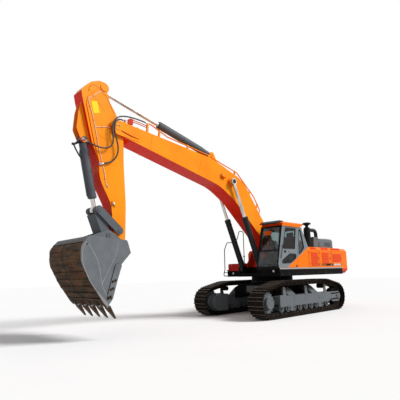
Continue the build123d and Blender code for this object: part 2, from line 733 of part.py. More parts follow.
with BuildPart() as intake_pipe:
    pipe([(cleaner_place[0] - 60, cleaner_place[1], hood_height + 690),
          (cleaner_place[0] - 630, cleaner_place[1], hood_height + 690),
          (cleaner_place[0] - 630, cleaner_place[1], hood_height)], 70, 160)
    with Locations((*cleaner_place, hood_height)):
        Cylinder(138 + pin_gap, 900, align=(Align.CENTER, Align.CENTER, Align.MIN), mode=Mode.SUBTRACT)
store(intake_pipe, "intake_pipe")

# Toolbox on the right deck and its lid, hinged at the rear
with BuildPart() as toolbox:
    block(toolbox_rear, right_deck_front, -toolbox_outer, -housing_inner, deck_height, toolbox_top)
    block(toolbox_rear + 15, right_deck_front - 15, -toolbox_outer + 15, -housing_inner - 15,
          deck_height + 15, toolbox_top, mode=Mode.SUBTRACT)
store(toolbox, "toolbox")
with BuildPart() as toolbox_lid:
    lid_foot = toolbox_top + pin_gap
    block(toolbox_rear, right_deck_front, -toolbox_outer, -housing_inner, lid_foot, toolbox_top + lid_height)
    fillet(toolbox_lid.faces().sort_by(Axis.Z)[-1].edges(), 45)
    block(toolbox_rear + 15, right_deck_front - 15, -toolbox_outer + 15, -housing_inner - 15,
          lid_foot - 1, toolbox_top + lid_height - 45, mode=Mode.SUBTRACT)
store(toolbox_lid, "toolbox_lid")

# Handrail at the right front corner
with BuildPart() as handrail:
    rail_y = -side_outer + rail_pipe_radius + 1
    foot_z = house_bottom + 35
    pipe([(-75, rail_y, skirt_top), (-75, rail_y, 3227), (75, rail_y, 3262), (205, rail_y, 3215),
          (300, rail_y, 2950), (470, rail_y, 2757), (right_deck_front, rail_y, 2735),
          (right_deck_front + 160, rail_y, 2445), (right_deck_front + 166, rail_y, 1655),
          (right_deck_front + 256, rail_y, foot_z), (right_deck_front, rail_y, foot_z)],
         rail_pipe_radius, 60)
    rung_height = deck_height - 60
    shaft((right_deck_front, rung_height), (right_deck_front + 206, rung_height), rail_y, rail_pipe_radius - 3)
store(handrail, "handrail")

# Cab, hollow, with the door's opening and the windows cut
cab_outer = house_half_width
door_inner = cab_outer - cab_wall
cab_outline = [(cab_rear, deck_height), (cab_rear, 2440, 120), (90, cab_top, 180),
               (1235, cab_top, 90), (1575, 1800, 120), (1545, deck_height)]
door_outline = [(door_hinge_x - 45, cab_sill, 30), (door_hinge_x - 45, door_top, 30),
                (1130, door_top, 80), (1350, 2330, 200), (1470, cab_sill, 60)]
rear_quarter = [(130, 3010, 30), (240, 3020, 30), (300, 2160, 20), (240, 2150, 40), (-50, 2370, 40)]
right_window = [(120, 3010, 60), (1140, 3010, 60), (1400, 1960, 100), (-60, 1960, 60),
                (-200, 2420, 60)]
door_windows = ([(445, 3040, 30), (1060, 3045, 60), (1270, 2320, 60), (560, 2330, 40)],
                [(500, 2120, 40), (880, 2130, 60), (1340, 1890, 30), (1320, 1810, 30),
                 (860, 1830, 200), (520, 1980, 60)])
with BuildPart() as cab_shell:
    side_outline(cab_outline, cab_inner_side, cab_outer)
    side_outline(inset(cab_outline, cab_wall), cab_inner_side + cab_wall, door_inner, Mode.SUBTRACT)
    side_outline(inset(door_outline, -door_gap), door_inner - 1, cab_outer + 1, Mode.SUBTRACT)
    side_outline(rear_quarter, door_inner - 1, cab_outer + 1, Mode.SUBTRACT)
    side_outline(right_window, cab_inner_side - 1, cab_inner_side + cab_wall + 1, Mode.SUBTRACT)
    # Windscreen, in two panes
    for low_z, high_z in ((1700, 2235), (2265, 3080)):
        low_side, high_side = 610 + 40 * (low_z - 1700) / 1400, 610 + 40 * (high_z - 1700) / 1400
        far = cab_inner_side + cab_outer
        front_outline([(low_side, low_z), (far - low_side, low_z), (far - high_side, high_z),
                       (high_side, high_z)], 1180, 1600, Mode.SUBTRACT)
    # Rear window
    block(cab_rear - 1, 60, cab_inner_side + 90, cab_outer - 90, 2480, 3060, mode=Mode.SUBTRACT)
    # Door hinge
    for z in (cab_sill - door_gap, door_top - 60):
        with Locations((door_hinge_x, cab_outer - cab_wall / 2, z)):
            Cylinder(hinge_radius, 60 + door_gap, align=(Align.CENTER, Align.CENTER, Align.MIN))
store(cab_shell, "cab_shell")

with BuildPart() as cab_door:
    side_outline(door_outline, door_inner, cab_outer)
    for window in door_windows:
        side_outline(window, door_inner - 1, cab_outer + 1, Mode.SUBTRACT)
    for z in (cab_sill, door_top - 60 - pin_gap):
        with Locations((door_hinge_x, cab_outer - cab_wall / 2, z)):
            Cylinder(hinge_radius + pin_gap, 60 + pin_gap,
                     align=(Align.CENTER, Align.CENTER, Align.MIN), mode=Mode.SUBTRACT)
store(cab_door, "cab_door")

# Roof cap, and the visor over the windscreen
roof_top = cab_top + roof_height
with BuildPart() as cab_roof:
    side_outline([(130, cab_top), (-40, cab_top), (-95, cab_top + 35, 40), (-50, roof_top, 60), (1190, roof_top, 50),
                  (1262, cab_top + 20, 25), (1225, cab_top)], cab_inner_side - 5, cab_outer + 5)
    fillet(cab_roof.faces().sort_by(Axis.Z)[-1].edges().filter_by(Axis.X), 45)
store(cab_roof, "cab_roof")
with BuildPart() as cab_visor:
    side_outline([(1010, roof_top), (1030, roof_top + 40, 15), (1270, roof_top + 44, 25),
                  (1362, roof_top - 25, 12), (1350, roof_top - 48, 12), (1272, roof_top - 8), (1272, roof_top)],
                 cab_inner_side + 30, cab_outer - 90)
store(cab_visor, "cab_visor")

pane = 6
pane_outer = cab_outer - 12
with BuildPart() as door_glass:
    for window in door_windows:
        side_outline(window, pane_outer - pane, pane_outer)
store(door_glass, "door_glass")

with BuildPart() as cab_glass:
    side_outline(rear_quarter, pane_outer - pane, pane_outer)
    side_outline(right_window, cab_inner_side + 12, cab_inner_side + 12 + pane)
    for low_z, high_z in ((1700, 2235), (2265, 3080)):
        low_side, high_side = 610 + 40 * (low_z - 1700) / 1400, 610 + 40 * (high_z - 1700) / 1400
        far = cab_inner_side + cab_outer
        with BuildPart(mode=Mode.PRIVATE) as screen:
            front_outline([(low_side, low_z), (far - low_side, low_z), (far - high_side, high_z),
                           (high_side, high_z)], 1100, 1600)
            side_outline(inset(cab_outline, 12), cab_inner_side, cab_outer, Mode.INTERSECT)
            side_outline(inset(cab_outline, 12 + pane), cab_inner_side, cab_outer, Mode.SUBTRACT)
        add(screen.part)
    with BuildPart(mode=Mode.PRIVATE) as rear_pane:
        block(cab_rear - 1, 60, cab_inner_side + 90, cab_outer - 90, 2480, 3060)
        side_outline(inset(cab_outline, 12), cab_inner_side, cab_outer, Mode.INTERSECT)
        side_outline(inset(cab_outline, 12 + pane), cab_inner_side, cab_outer, Mode.SUBTRACT)
    add(rear_pane.part)
store(cab_glass, "cab_glass")

# Seat with its consoles
seat_middle = (cab_inner_side + cab_outer) / 2
with BuildPart() as cab_seat:
    floor_z = deck_height + cab_wall
    block(250, 750, seat_middle - 230, seat_middle + 230, floor_z, floor_z + 250)
    block(200, 780, seat_middle - 270, seat_middle + 270, floor_z + 250, floor_z + 420)
    side_outline([(200, floor_z + 300), (330, floor_z + 300), (200, floor_z + 1000),
                  (180, floor_z + 1230), (90, floor_z + 1230), (60, floor_z + 980)],
                 seat_middle - 250, seat_middle + 250)
    for sign in (-1, 1):
        low, high = sorted((seat_middle + sign * 270, seat_middle + sign * 385))
        block(250, 850, low, high, floor_z, floor_z + 600)
store(cab_seat, "cab_seat")

# Hoses over the arm's joint, as places of x, y and z: from the boom's pipe to the bucket cylinder,
# and from the boom's tip to the arm's pipe
arm_hose = [(6100, boom_pipe_side, 5990), (6325, boom_pipe_side, 6015), (6600, 284, 6020), (6870, 308, 5985),
            (7085, 345, 5905), (7215, 366, 5780), (7278, 368, 5625), (7282, 362, 5450), (7245, 356, 5265),
            (7247, 352, 5090), (7335, 348, 4960), (7480, 338, 4902), (7650, 322, 4905), (7820, 285, 4955),
            (7940, 210, 5030)]
link_hose = [(6900, 275, 5865), (7060, 315, 5862), (7172, 345, 5745), (7215, 350, 5570), (7190, 348, 5380),
             (7120, 342, 5190), (7072, 335, 5000), (7088, 325, 4810), (7180, 310, 4640), (7345, 290, 4530),
             (7495, 270, 4490)]


def ferrule(end, before, length):
    """The crimped end of a hose, that carries on from its last run."""
    along = Vector(*end) - Vector(*before)
    with Locations(Plane(origin=end, z_dir=along)):
        Cylinder(ferrule_radius, length, align=(Align.CENTER, Align.CENTER, Align.MIN))


def hose(points):
    """A plain tube along a hose's places, each arc as large as its two runs allow."""
    radii = []
    for before, corner, after in zip(points, points[1:], points[2:]):
        arrive, leave = Vector(*corner) - Vector(*before), Vector(*after) - Vector(*corner)
        turn = arrive.get_angle(leave)
        radii.append(0.45 * min(arrive.length, leave.length) / tan(turn * pi / 360))
    with BuildPart() as tube:
        with BuildLine() as route:
            FilletPolyline(*points, radius=radii)
        with BuildSketch(Plane(origin=route.line @ 0, z_dir=route.line % 0)):
            Circle(hose_radius)
        sweep()
    length = sum(edge.length for edge in route.edges())
    share = tube.part.volume / (pi * hose_radius**2 * length)
    print(f"hose {length:.0f} long, radii {min(radii):.0f} and up, volume by length {share:.4f}")
    return tube


store(hose(arm_hose), "arm_hose")
store(hose(link_hose), "link_hose")

# Boom: box section with the foot's boss, the fork at its tip and the cylinders' seats
with BuildPart() as boom:
    side_outline([(7050, 5814), (3380, 5400, 1500), (1860, 4850, 1200), (140, 2620), (435, 2352),
                  (2330, 4060, 1500), (3080, 4500, 2000), (7113, 5430)],
                 -boom_half_width, boom_half_width)
    cross_pin(boom_foot, boom_foot_radius, -boom_foot_half_width, boom_foot_half_width)
    cross_pin(boom_tip, boom_nose_radius, -boom_half_width, boom_half_width)
    for side, sign in sides:
        cross_pin(lift_eye, 150, *band(sign, boom_half_width, lift_eye_inner - side_gap))
    # Fork round the arm
    fork = arm_half_width + side_gap
    side_outline([(6620, 5000), (6620, 5580), (6370, 5770), (6370, 6000), (7400, 6000), (7400, 5000)],
                 -fork, fork, Mode.SUBTRACT)
    # Pipes along the top, in clamps
    boom_top = [(7050, 5814), (3380, 5400), (1860, 4850), (140, 2620)]
    for side, sign in sides:
        route = [(6100, 5990), (5920, 5970), (5320, 5735), (3650, 5500), (2160, 5110), (1250, 4330),
                 (930, 3850), (1010, 3560)]
        pipe([(x, sign * boom_pipe_side, z) for x, z in route], boom_pipe_radius, 90)
        low, high = band(sign, boom_pipe_side - 26, boom_half_width - 1)
        for base, place in (((6080, 5700), (6060, 5984)), ((5660, 5620), (5620, 5852)),
                            ((4500, 5500), (4500, 5620)), ((3560, 5400), (3560, 5488)),
                            ((2300, 4920), (2260, 5137)), ((1560, 4340), (1460, 4510)),
                            ((1160, 3860), (1060, 4040))):
            side_outline([beyond(base, place, 0, 28), beyond(base, place, 0, -28),
                          beyond(base, place, hypot(place[0] - base[0], place[1] - base[1]) + 26, -28),
                          beyond(base, place, hypot(place[0] - base[0], place[1] - base[1]) + 26, 28)],
                         low, high)
    # Bulkhead of the lower hose on the fork
    block(6800, 6860, 250, boom_half_width, 5700, 5892)
    ferrule(link_hose[0], link_hose[1], 80)
    # Work lamp on the left side
    lamp = (2915, 4870)
    side_outline([beyond(lamp, boom_tip, -95, -60), beyond(lamp, boom_tip, 95, -60),
                  beyond(lamp, boom_tip, 95, 60), beyond(lamp, boom_tip, -95, 60)],
                 boom_half_width - 1, boom_half_width + 85)
    # Ears of the arm cylinder
    for side, sign in sides:
        low, high = band(sign, eye_half_width + side_gap, 130)
        side_outline([off(arm_push_base, -330, -370), off(arm_push_base, -95, 55),
                      off(arm_push_base, 70, 40), off(arm_push_base, 108, -20),
                      off(arm_push_base, 125, -120), off(arm_push_base, 160, -220),
                      off(arm_push_base, 160, -370)], low, high)
        cross_pin(arm_push_base, 110, low, high)
    cross_pin(arm_push_base, 50, -130, 130)
    cross_pin(boom_tip, tip_pin_radius, -boom_half_width, boom_half_width)
    cross_pin(boom_foot, foot_pin_radius + pin_gap, -boom_foot_half_width, boom_foot_half_width,
              Mode.SUBTRACT)
store(boom, "boom")


def barrel(base, eye, y, sizes):
    """Barrel of a cylinder with its base's eye, bored for the rod."""
    with BuildPart() as part:
        low, high = y - sizes["eye_half_width"], y + sizes["eye_half_width"]
        cross_pin(base, sizes["base_radius"], low, high)
        neck = sizes["base_radius"] + 20
        shaft(base, between(base, eye, neck), y, min(sizes["radius"], sizes["eye_half_width"]))
        shaft(between(base, eye, neck), between(base, eye, sizes["barrel_end"]), y, sizes["radius"])
        shaft(between(base, eye, sizes["barrel_end"] - 90), between(base, eye, sizes["barrel_end"]),
              y, sizes["radius"] + 8)
        shaft(between(base, eye, neck + 10), between(base, eye, sizes["barrel_end"] + 1), y,
              sizes["rod_radius"] + pin_gap, Mode.SUBTRACT)
        cross_pin(base, sizes["pin_radius"] + pin_gap, low, high, Mode.SUBTRACT)
    return part


def rod(base, eye, y, sizes):
    """Rod of a cylinder with its eye."""
    with BuildPart() as part:
        shaft(between(base, eye, sizes["rod_start"]), eye, y, sizes["rod_radius"])
        cross_pin(eye, sizes["tip_radius"], y - sizes["eye_half_width"], y + sizes["eye_half_width"])
    return part


lift_sizes = {"radius": 105, "rod_radius": 58, "base_radius": 120, "tip_radius": 120,
              "pin_radius": lift_pin_radius, "eye_half_width": 60, "barrel_end": 1960, "rod_start": 1240}
arm_sizes = {"radius": 112, "rod_radius": 62, "base_radius": 110, "tip_radius": 105,
             "pin_radius": 50, "eye_half_width": eye_half_width, "barrel_end": 2270, "rod_start": 1720}
curl_sizes = {"radius": 111, "rod_radius": 57, "base_radius": 105, "tip_radius": 95,
              "pin_radius": 45, "eye_half_width": eye_half_width, "barrel_end": 1570, "rod_start": 210}
for side, sign in sides:
    y = sign * lift_cylinder_side
    store(barrel(lift_base, lift_eye, y, lift_sizes), f"boom_cylinder_barrel_{side}")
    store(rod(lift_base, lift_eye, y, lift_sizes), f"boom_cylinder_rod_{side}")
store(barrel(arm_push_base, arm_push_eye, 0, arm_sizes), "arm_cylinder_barrel")
store(rod(arm_push_base, arm_push_eye, 0, arm_sizes), "arm_cylinder_rod")
store(barrel(curl_base, curl_eye, 0, curl_sizes), "bucket_cylinder_barrel")
store(rod(curl_base, curl_eye, 0, curl_sizes), "bucket_cylinder_rod")

# Arm: box section with a pocket at its tail for the rod's eye
with BuildPart() as arm:
    side_outline([(7440, 6825), (7620, 6840), (7860, 6735), (8030, 6570), (8140, 6400), (8100, 6200),
                  (7800, 5030, 900), (7590, 4560, 900), (7560, 4080, 900), (7200, 3420, 600),
                  (7140, 2880, 600), (7045, 2300), (6756, 2300), (6750, 3450, 3000),
                  (6830, 4580, 3000), (6850, 5300, 900), (7080, 5990, 900), (7300, 6310)],
                 -arm_half_width, arm_half_width)
    cross_pin(boom_tip, 170, -arm_half_width, arm_half_width)
    cross_pin(bucket_pin, 145, -arm_half_width, arm_half_width)
    cross_pin(arm_push_eye, 150, -arm_half_width, arm_half_width)
    pocket = arm_half_width - arm_plate
    side_outline([(7000, 6370), (7560, 6370), (7700, 6450), (7945, 6590), (7945, 7000), (7000, 7000)],
                 -pocket, pocket, Mode.SUBTRACT)
    for side, sign in sides:
        cross_pin(arm_push_eye, 110, *band(sign, arm_half_width, arm_half_width + 20))
        # Ears of the bucket cylinder
        low, high = band(sign, eye_half_width + side_gap, 120)
        side_outline([(8060, 6190), (8150, 5840, 300), (8190, 5360, 200), off(curl_base, 105, -20),
                      off(curl_base, 0, -100), (7850, 5060), (7760, 5060)], low, high)
        cross_pin(curl_base, 108, low, high)
    cross_pin(curl_base, 45, -120, 120)
    # Port of the bucket cylinder's hose, clamp of the lower hose and the pipe up the left side
    block(7990, 8060, 119, 175, 5050, 5130)
    block(7535, 7610, arm_half_width - 1, 290, 4440, 4510)
    for hose in (arm_hose, link_hose):
        ferrule(hose[-1], hose[-2], 110 if hose is arm_hose else 40)
    pipe([(x, arm_half_width + arm_pipe_radius - 2, z) for x, z in
          ((7670, 6600), (7960, 6260), (7985, 6060), (7905, 5750), (7750, 5100), (7630, 4710), (7575, 4511))],
         arm_pipe_radius, 60)
    cross_pin(guide_pin, 50, -ear_outer, ear_outer)
    cross_pin(bucket_pin, bucket_pin_radius, -ear_outer, ear_outer)
    cross_pin(boom_tip, tip_pin_radius + pin_gap, -arm_half_width, arm_half_width, Mode.SUBTRACT)
store(arm, "arm")

# Guide links, outermost on the linkage
with BuildPart() as guide_links:
    for side, sign in sides:
        middle = sign * (arm_half_width + 10 + guide_link_thickness / 2)
        belt([(*guide_pin, 105), (*curl_eye, 100)], middle, guide_link_thickness / 2)
        cross_pin(guide_pin, 50 + pin_gap, middle - guide_link_thickness / 2,
                  middle + guide_link_thickness / 2, Mode.SUBTRACT)
store(guide_links, "guide_links")

# Bucket link: a fork at the guide links, closed by a plate, on the bucket's rear pin
with BuildPart() as bucket_link:
    for side, sign in sides:
        low, high = band(sign, 150, arm_half_width)
        belt([(*link_pin, 110), (*curl_eye, 100)], (low + high) / 2, (high - low) / 2)
    cross_pin(link_pin, 110, -arm_half_width, arm_half_width)
    # Each box by its start and end along the link, and its rear and front beside it
    for start, end, rear, front, half_width in ((240, 560, -60, 112, 150), (80, 600, 90, 135, arm_half_width)):
        side_outline([beyond(curl_eye, link_pin, along, out) for along, out in
                      ((start, rear), (end, rear), (end, front), (start, front))], -half_width, half_width)
    cross_pin(link_pin, 45 + pin_gap, -arm_half_width, arm_half_width, Mode.SUBTRACT)
    side_outline([beyond(curl_eye, link_pin, along, out) for along, out in
                  ((-150, -150), (239, -150), (239, 110), (-150, 110))], -150, 150, Mode.SUBTRACT)
store(bucket_link, "bucket_link")

# Bucket
back = [(7120, 2410), (8130, 2492, 110), (8350, 2240, 250), (8345, 1860, 500), (8020, 1250, 1500),
        (7700, 920)]
lip = (7620, 820)
mouth = [(7510, 950), (7390, 1420, 600), (7260, 1810), (7000, 2090), (7090, 2360)]
lip_run = hypot(lip[0] - back[-1][0], lip[1] - back[-1][1])


def on_lip(along, inside):
    """A place measured from the lip along the bucket's floor, and in from its outside."""
    return beyond(back[-1], lip, lip_run + along, -inside)


tooth_rows = [i * tooth_pitch for i in range(-2, 3)]
bar_count, bar_start, bar_end = 9, 0.4, 0.93    # shares of the back's run
with BuildPart() as bucket:
    side_outline([*back, lip, *mouth], -bucket_half_width, bucket_half_width)
    for side, sign in sides:
        low, high = band(sign, ear_inner, ear_outer)
        belt([(*bucket_pin, 160), (8000, 2440, 30), (*link_pin, 135)], (low + high) / 2, (high - low) / 2)
    inner_half = bucket_half_width - bucket_plate
    side_outline(inset([(7105, 2409), *back[1:], on_lip(400, 0), (6300, 600), (6300, 1600),
                        (7000, 2050)], bucket_plate), -inner_half, inner_half, Mode.SUBTRACT)
    cross_pin(link_pin, 45, -ear_outer, ear_outer)
    for side, sign in sides:
        cross_pin(bucket_pin, bucket_pin_radius + pin_gap, *band(sign, ear_inner, ear_outer),
                  Mode.SUBTRACT)
    # Wear bars across the back, split at the middle
    with BuildLine(mode=Mode.PRIVATE) as back_line:
        FilletPolyline(*[point[:2] for point in [*back, lip]], radius=[point[2] for point in back[1:5]] + [0])
    for i in range(bar_count):
        along = bar_start + i * (bar_end - bar_start) / (bar_count - 1)
        place, heading = back_line.line @ along, back_line.line % along
        for side, sign in sides:
            middle = sign * (bucket_half_width - 40 + 12) / 2
            bar = Plane(origin=(place.X, middle, place.Y), x_dir=(heading.X, 0, heading.Y), z_dir=(0, 1, 0))
            with Locations(bar):
                Box(wear_bar_width, 2 * wear_bar_height, bucket_half_width - 40 - 12)
    # Side cutters along the mouth
    for side, sign in sides:
        side_outline([(7505, 985), (7385, 1420, 500), (7270, 1770), (7330, 1830), (7440, 1800),
                      (7545, 1440, 500), (7650, 1060)],
                     *band(sign, bucket_half_width - 1, bucket_half_width + side_cutter))
    # Adapters round the lip
    for y in tooth_rows:
        side_outline([on_lip(-150, -10), on_lip(0, -30), on_lip(60, -20), on_lip(60, 60),
                      on_lip(0, 70), on_lip(-220, 45)], y - 55, y + 55)
store(bucket, "bucket")

with BuildPart() as bucket_teeth:
    for y in tooth_rows:
        for along, low, high, width in ((60, -30, 72, tooth_width), (tooth_reach, 0, 18, tooth_tip_width)):
            middle = on_lip(along, (low + high) / 2)
            ahead, beside_it = on_lip(along + 1, (low + high) / 2), on_lip(along, (low + high) / 2 + 1)
            end = Plane(origin=(middle[0], y, middle[1]), x_dir=(0, 1, 0),
                        z_dir=(ahead[0] - middle[0], 0, ahead[1] - middle[1]))
            with BuildSketch(end):
                Rectangle(width, high - low)
        loft()
store(bucket_teeth, "bucket_teeth")
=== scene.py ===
import json
from math import atan2, cos, exp, hypot, pi, radians, sin

import bmesh
import bpy
from mathutils import Matrix, Vector


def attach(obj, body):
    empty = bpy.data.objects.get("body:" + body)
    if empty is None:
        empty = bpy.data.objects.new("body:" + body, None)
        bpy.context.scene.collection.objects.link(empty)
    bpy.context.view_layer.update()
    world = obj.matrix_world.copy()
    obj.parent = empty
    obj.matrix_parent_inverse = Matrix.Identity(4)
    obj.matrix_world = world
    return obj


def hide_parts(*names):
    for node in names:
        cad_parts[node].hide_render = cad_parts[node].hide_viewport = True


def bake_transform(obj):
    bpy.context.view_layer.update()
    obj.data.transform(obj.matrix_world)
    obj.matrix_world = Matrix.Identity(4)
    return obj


# Finishes, hoses and small details of the crawler excavator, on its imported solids.
# Metres. +X points forward along the boom, +Y to the cab's side, +Z up.
# The origin lies on the ground under the slewing axis.

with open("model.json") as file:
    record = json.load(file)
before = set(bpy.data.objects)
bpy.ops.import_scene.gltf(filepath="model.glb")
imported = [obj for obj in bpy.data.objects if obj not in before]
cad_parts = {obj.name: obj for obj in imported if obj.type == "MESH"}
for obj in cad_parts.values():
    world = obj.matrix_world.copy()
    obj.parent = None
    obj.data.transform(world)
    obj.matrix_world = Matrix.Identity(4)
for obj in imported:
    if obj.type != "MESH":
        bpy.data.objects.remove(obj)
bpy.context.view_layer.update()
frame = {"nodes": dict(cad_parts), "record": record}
nodes = frame["nodes"]
scene = bpy.context.scene

# Pins, as places of x and z. The boom's cylinders lift, the arm's swings and the bucket's curls.
BOOM_FOOT = (0.3, 2.5)
LIFT_BASE = (1.2, 1.65)
LIFT_EYE = (2.52, 4.7)
ARM_PIN = (7.07, 5.62)
SWING_BASE = (3.25, 5.6)
SWING_EYE = (7.48, 6.68)
CURL_BASE = (7.965, 5.13)
CURL_EYE = (7.57, 3.25)
GUIDE_PIN = (6.96, 2.72)
BUCKET_PIN = (6.9, 2.285)
LINK_PIN = (7.3, 2.58)
# Tracks: the sprocket stands at the front and the idler as far behind
GAUGE = 2.61
SHOE_WIDTH = 0.6
SPROCKET_X = 2.188
SPROCKET_Z = 0.52
SPROCKET_PITCH_RADIUS = 0.408
CARRIER_X = 1.33
SHOES = 48
ROLLERS = [-1.46 + k * 0.365 for k in range(9)]
# The track frame's outer face from its middle, the travel motor's inner cover, and the car body's ends
FRAME_OUT = 0.19
MOTOR_COVER = 0.85
BODY_END = 1.05
# Bolts of the slewing ring
RING_RADIUS = 0.789
RING_HEIGHT = 1.165
RING_BOLTS = 44
# Outer faces of the gear and the house, from the middle plane
BOOM_SIDE = 0.3
ARM_SIDE = 0.225
BUCKET_SIDE = 0.89
DOOR_SIDE = 1.494
WALKWAY = 2.4205
TAIL_RADIUS = 3.7
HOOD_SIDES = ((1, 1.15), (-1, -0.88))
# Middle of the cab and its seat, and the slanted front with its foot as a place of x and z
CAB_MIDDLE = 1.0275
SCREEN_FOOT = (1.575, 1.8)
SCREEN_LEAN = 0.2482
SCREEN_OUT = Vector((0.9706, 0, 0.2409))
SIDES = (1, -1)
# Edges sharper than this stay sharp in a smooth mesh
SHARP = radians(40)


def add_camera():
    """Stands where the photograph was taken. Its lens and shift were measured in pixels there."""
    width, sensor = 400, 36
    forward = Vector((-0.69302, -0.70176, 0.16511))
    right = Vector((-0.71435, 0.69929, -0.02623))
    up = Vector((0.09705, 0.13613, 0.98593))
    data = bpy.data.cameras.new("camera")
    data.sensor_width = sensor
    data.lens = 392.024 / width * sensor
    data.shift_x = -12.759 / width
    data.shift_y = 7.919 / width
    data.clip_end = 300
    camera = bpy.data.objects.new("camera", data)
    turn = Matrix((right, up, -forward)).transposed().to_4x4()
    camera.matrix_world = Matrix.Translation((12.539692, 9.506693, 1.516760)) @ turn
    scene.collection.objects.link(camera)
    scene.camera = camera


class Shader:
    """A material and the node calls that the materials here share."""

    def __init__(self, name="finish"):
        self.material = bpy.data.materials.new(name)
        self.material.use_nodes = True
        self.tree = self.material.node_tree
        self.surface = self.tree.nodes["Principled BSDF"]

    def node(self, kind, **values):
        made = self.tree.nodes.new(kind)
        for key, value in values.items():
            if key in made.inputs:
                made.inputs[key].default_value = value
            else:
                setattr(made, key, value)
        return made

    def put(self, value, socket):
        """Links an output, or sets a plain value or a colour."""
        if isinstance(value, bpy.types.NodeSocket):
            self.tree.links.new(value, socket)
        else:
            socket.default_value = (*value, 1) if socket.type == "RGBA" else value

    def place(self, stretch=(1, 1, 1)):
        """A point in the machine's own frame, so that a pattern keeps its size and moves with its piece."""
        mapping = self.node("ShaderNodeMapping", Scale=stretch)
        self.put(self.node("ShaderNodeTexCoord").outputs["Object"], mapping.inputs["Vector"])
        return mapping.outputs["Vector"]

    def facing(self):
        """The direction that the surface faces, in the same frame."""
        return self.node("ShaderNodeTexCoord").outputs["Normal"]

    def noise(self, scale, detail=4, rough=0.6, stretch=(1, 1, 1)):
        made = self.node("ShaderNodeTexNoise", Scale=scale, Detail=detail, Roughness=rough)
        self.put(self.place(stretch), made.inputs["Vector"])
        return made.outputs["Fac"]

    def wave(self, **values):
        made = self.node("ShaderNodeTexWave", **values)
        self.put(self.place(), made.inputs["Vector"])
        return made.outputs["Fac"]

    def ramp(self, value, start, end, low=0.0, high=1.0):
        """Spreads the values from start to end over those from low to high."""
        made = self.node("ShaderNodeMapRange")
        limits = {"Value": value, "From Min": start, "From Max": end, "To Min": low, "To Max": high}
        for name, part in limits.items():
            self.put(part, made.inputs[name])
        return made.outputs["Result"]

    def patches(self, scale, detail=4, start=0.3, end=0.7, low=0.0, high=1.0, rough=0.6, stretch=(1, 1, 1)):
        """Noise, spread in the same way."""
        return self.ramp(self.noise(scale, detail, rough, stretch), start, end, low, high)

    def math(self, operation, a, b=0.0):
        made = self.node("ShaderNodeMath", operation=operation)
        self.put(a, made.inputs[0])
        self.put(b, made.inputs[1])
        return made.outputs["Value"]

    def all_of(self, *masks):
        result = masks[0]
        for mask in masks[1:]:
            result = self.math("MULTIPLY", result, mask)
        return result

    def dot(self, vector, direction):
        made = self.node("ShaderNodeVectorMath", operation="DOT_PRODUCT")
        self.put(vector, made.inputs[0])
        self.put(direction, made.inputs[1])
        return made.outputs["Value"]

    def past(self, direction, distance, soft=0.003):
        """One beyond a plane that lies at a distance along a direction, and zero before it."""
        return self.ramp(self.dot(self.place(), direction), distance - soft, distance + soft)

    def box(self, low, high):
        """One inside a box. A limit of None is left open."""
        masks = []
        for i, axis in enumerate(((1, 0, 0), (0, 1, 0), (0, 0, 1))):
            if low[i] is not None:
                masks.append(self.past(axis, low[i], 0.001))
            if high[i] is not None:
                masks.append(self.past([-a for a in axis], -high[i], 0.001))
        return self.all_of(*masks)

    def mix(self, share, a, b, blend="MIX"):
        made = self.node("ShaderNodeMix", data_type="RGBA", blend_type=blend)
        colors = [socket for socket in made.inputs if socket.type == "RGBA"]
        self.put(share, made.inputs["Factor"])
        self.put(a, colors[0])
        self.put(b, colors[1])
        return [socket for socket in made.outputs if socket.type == "RGBA"][0]

    def worn(self, strength, radius=0.006):
        """Strength along edges, and zero elsewhere."""
        round_normal = self.node("ShaderNodeBevel", samples=4, Radius=radius).outputs["Normal"]
        normal = self.node("ShaderNodeNewGeometry").outputs["Normal"]
        return self.ramp(self.dot(round_normal, normal), 0.98, 0.85, 0, strength)

    def painted_hollow_shade(self, strength, distance):
        """Painted shade: strength in corners and gaps, and zero elsewhere."""
        light = self.node("ShaderNodeAmbientOcclusion", samples=4, Distance=distance).outputs["AO"]
        return self.ramp(light, 0.75, 0.35, 0, strength)

    def finish(self, color, rough, metallic=0.0, bump=None, strength=0.1, distance=0.002,
               specular=0.5, **constants):
        for name, value in (("Base Color", color), ("Roughness", rough), ("Metallic", metallic),
                            ("Specular IOR Level", specular)):
            self.put(value, self.surface.inputs[name])
        for name, value in constants.items():
            self.surface.inputs[name.replace("_", " ")].default_value = value
        if bump is not None:
            made = self.node("ShaderNodeBump", Strength=strength, Distance=distance)
            self.put(bump, made.inputs["Height"])
            self.put(made.outputs["Normal"], self.surface.inputs["Normal"])
        return self.material


# Colours, linear
ORANGE = (0.96, 0.2, 0.006)
DEEP_ORANGE = (0.9, 0.165, 0.005)
SUN_ORANGE = (0.98, 0.34, 0.012)
# Painted shade of the louvres
SLAT_SHADE_ORANGE = (0.8, 0.045, 0.008)
# Painted shade: paint is multiplied towards this colour on faces that look down or forward
SHADE = (0.98, 0.075, 0.4)
LIGHT_GREY = (0.42, 0.38, 0.36)
CAB_GREY = (0.215, 0.247, 0.265)
DEEP_CAB_GREY = (0.19, 0.215, 0.232)
BLACK = (0.0035, 0.0035, 0.004)
# Painted shade in crevices and gaps
CREVICE_SHADE = (0.008, 0.006, 0.005)
DUST = (0.16, 0.115, 0.075)


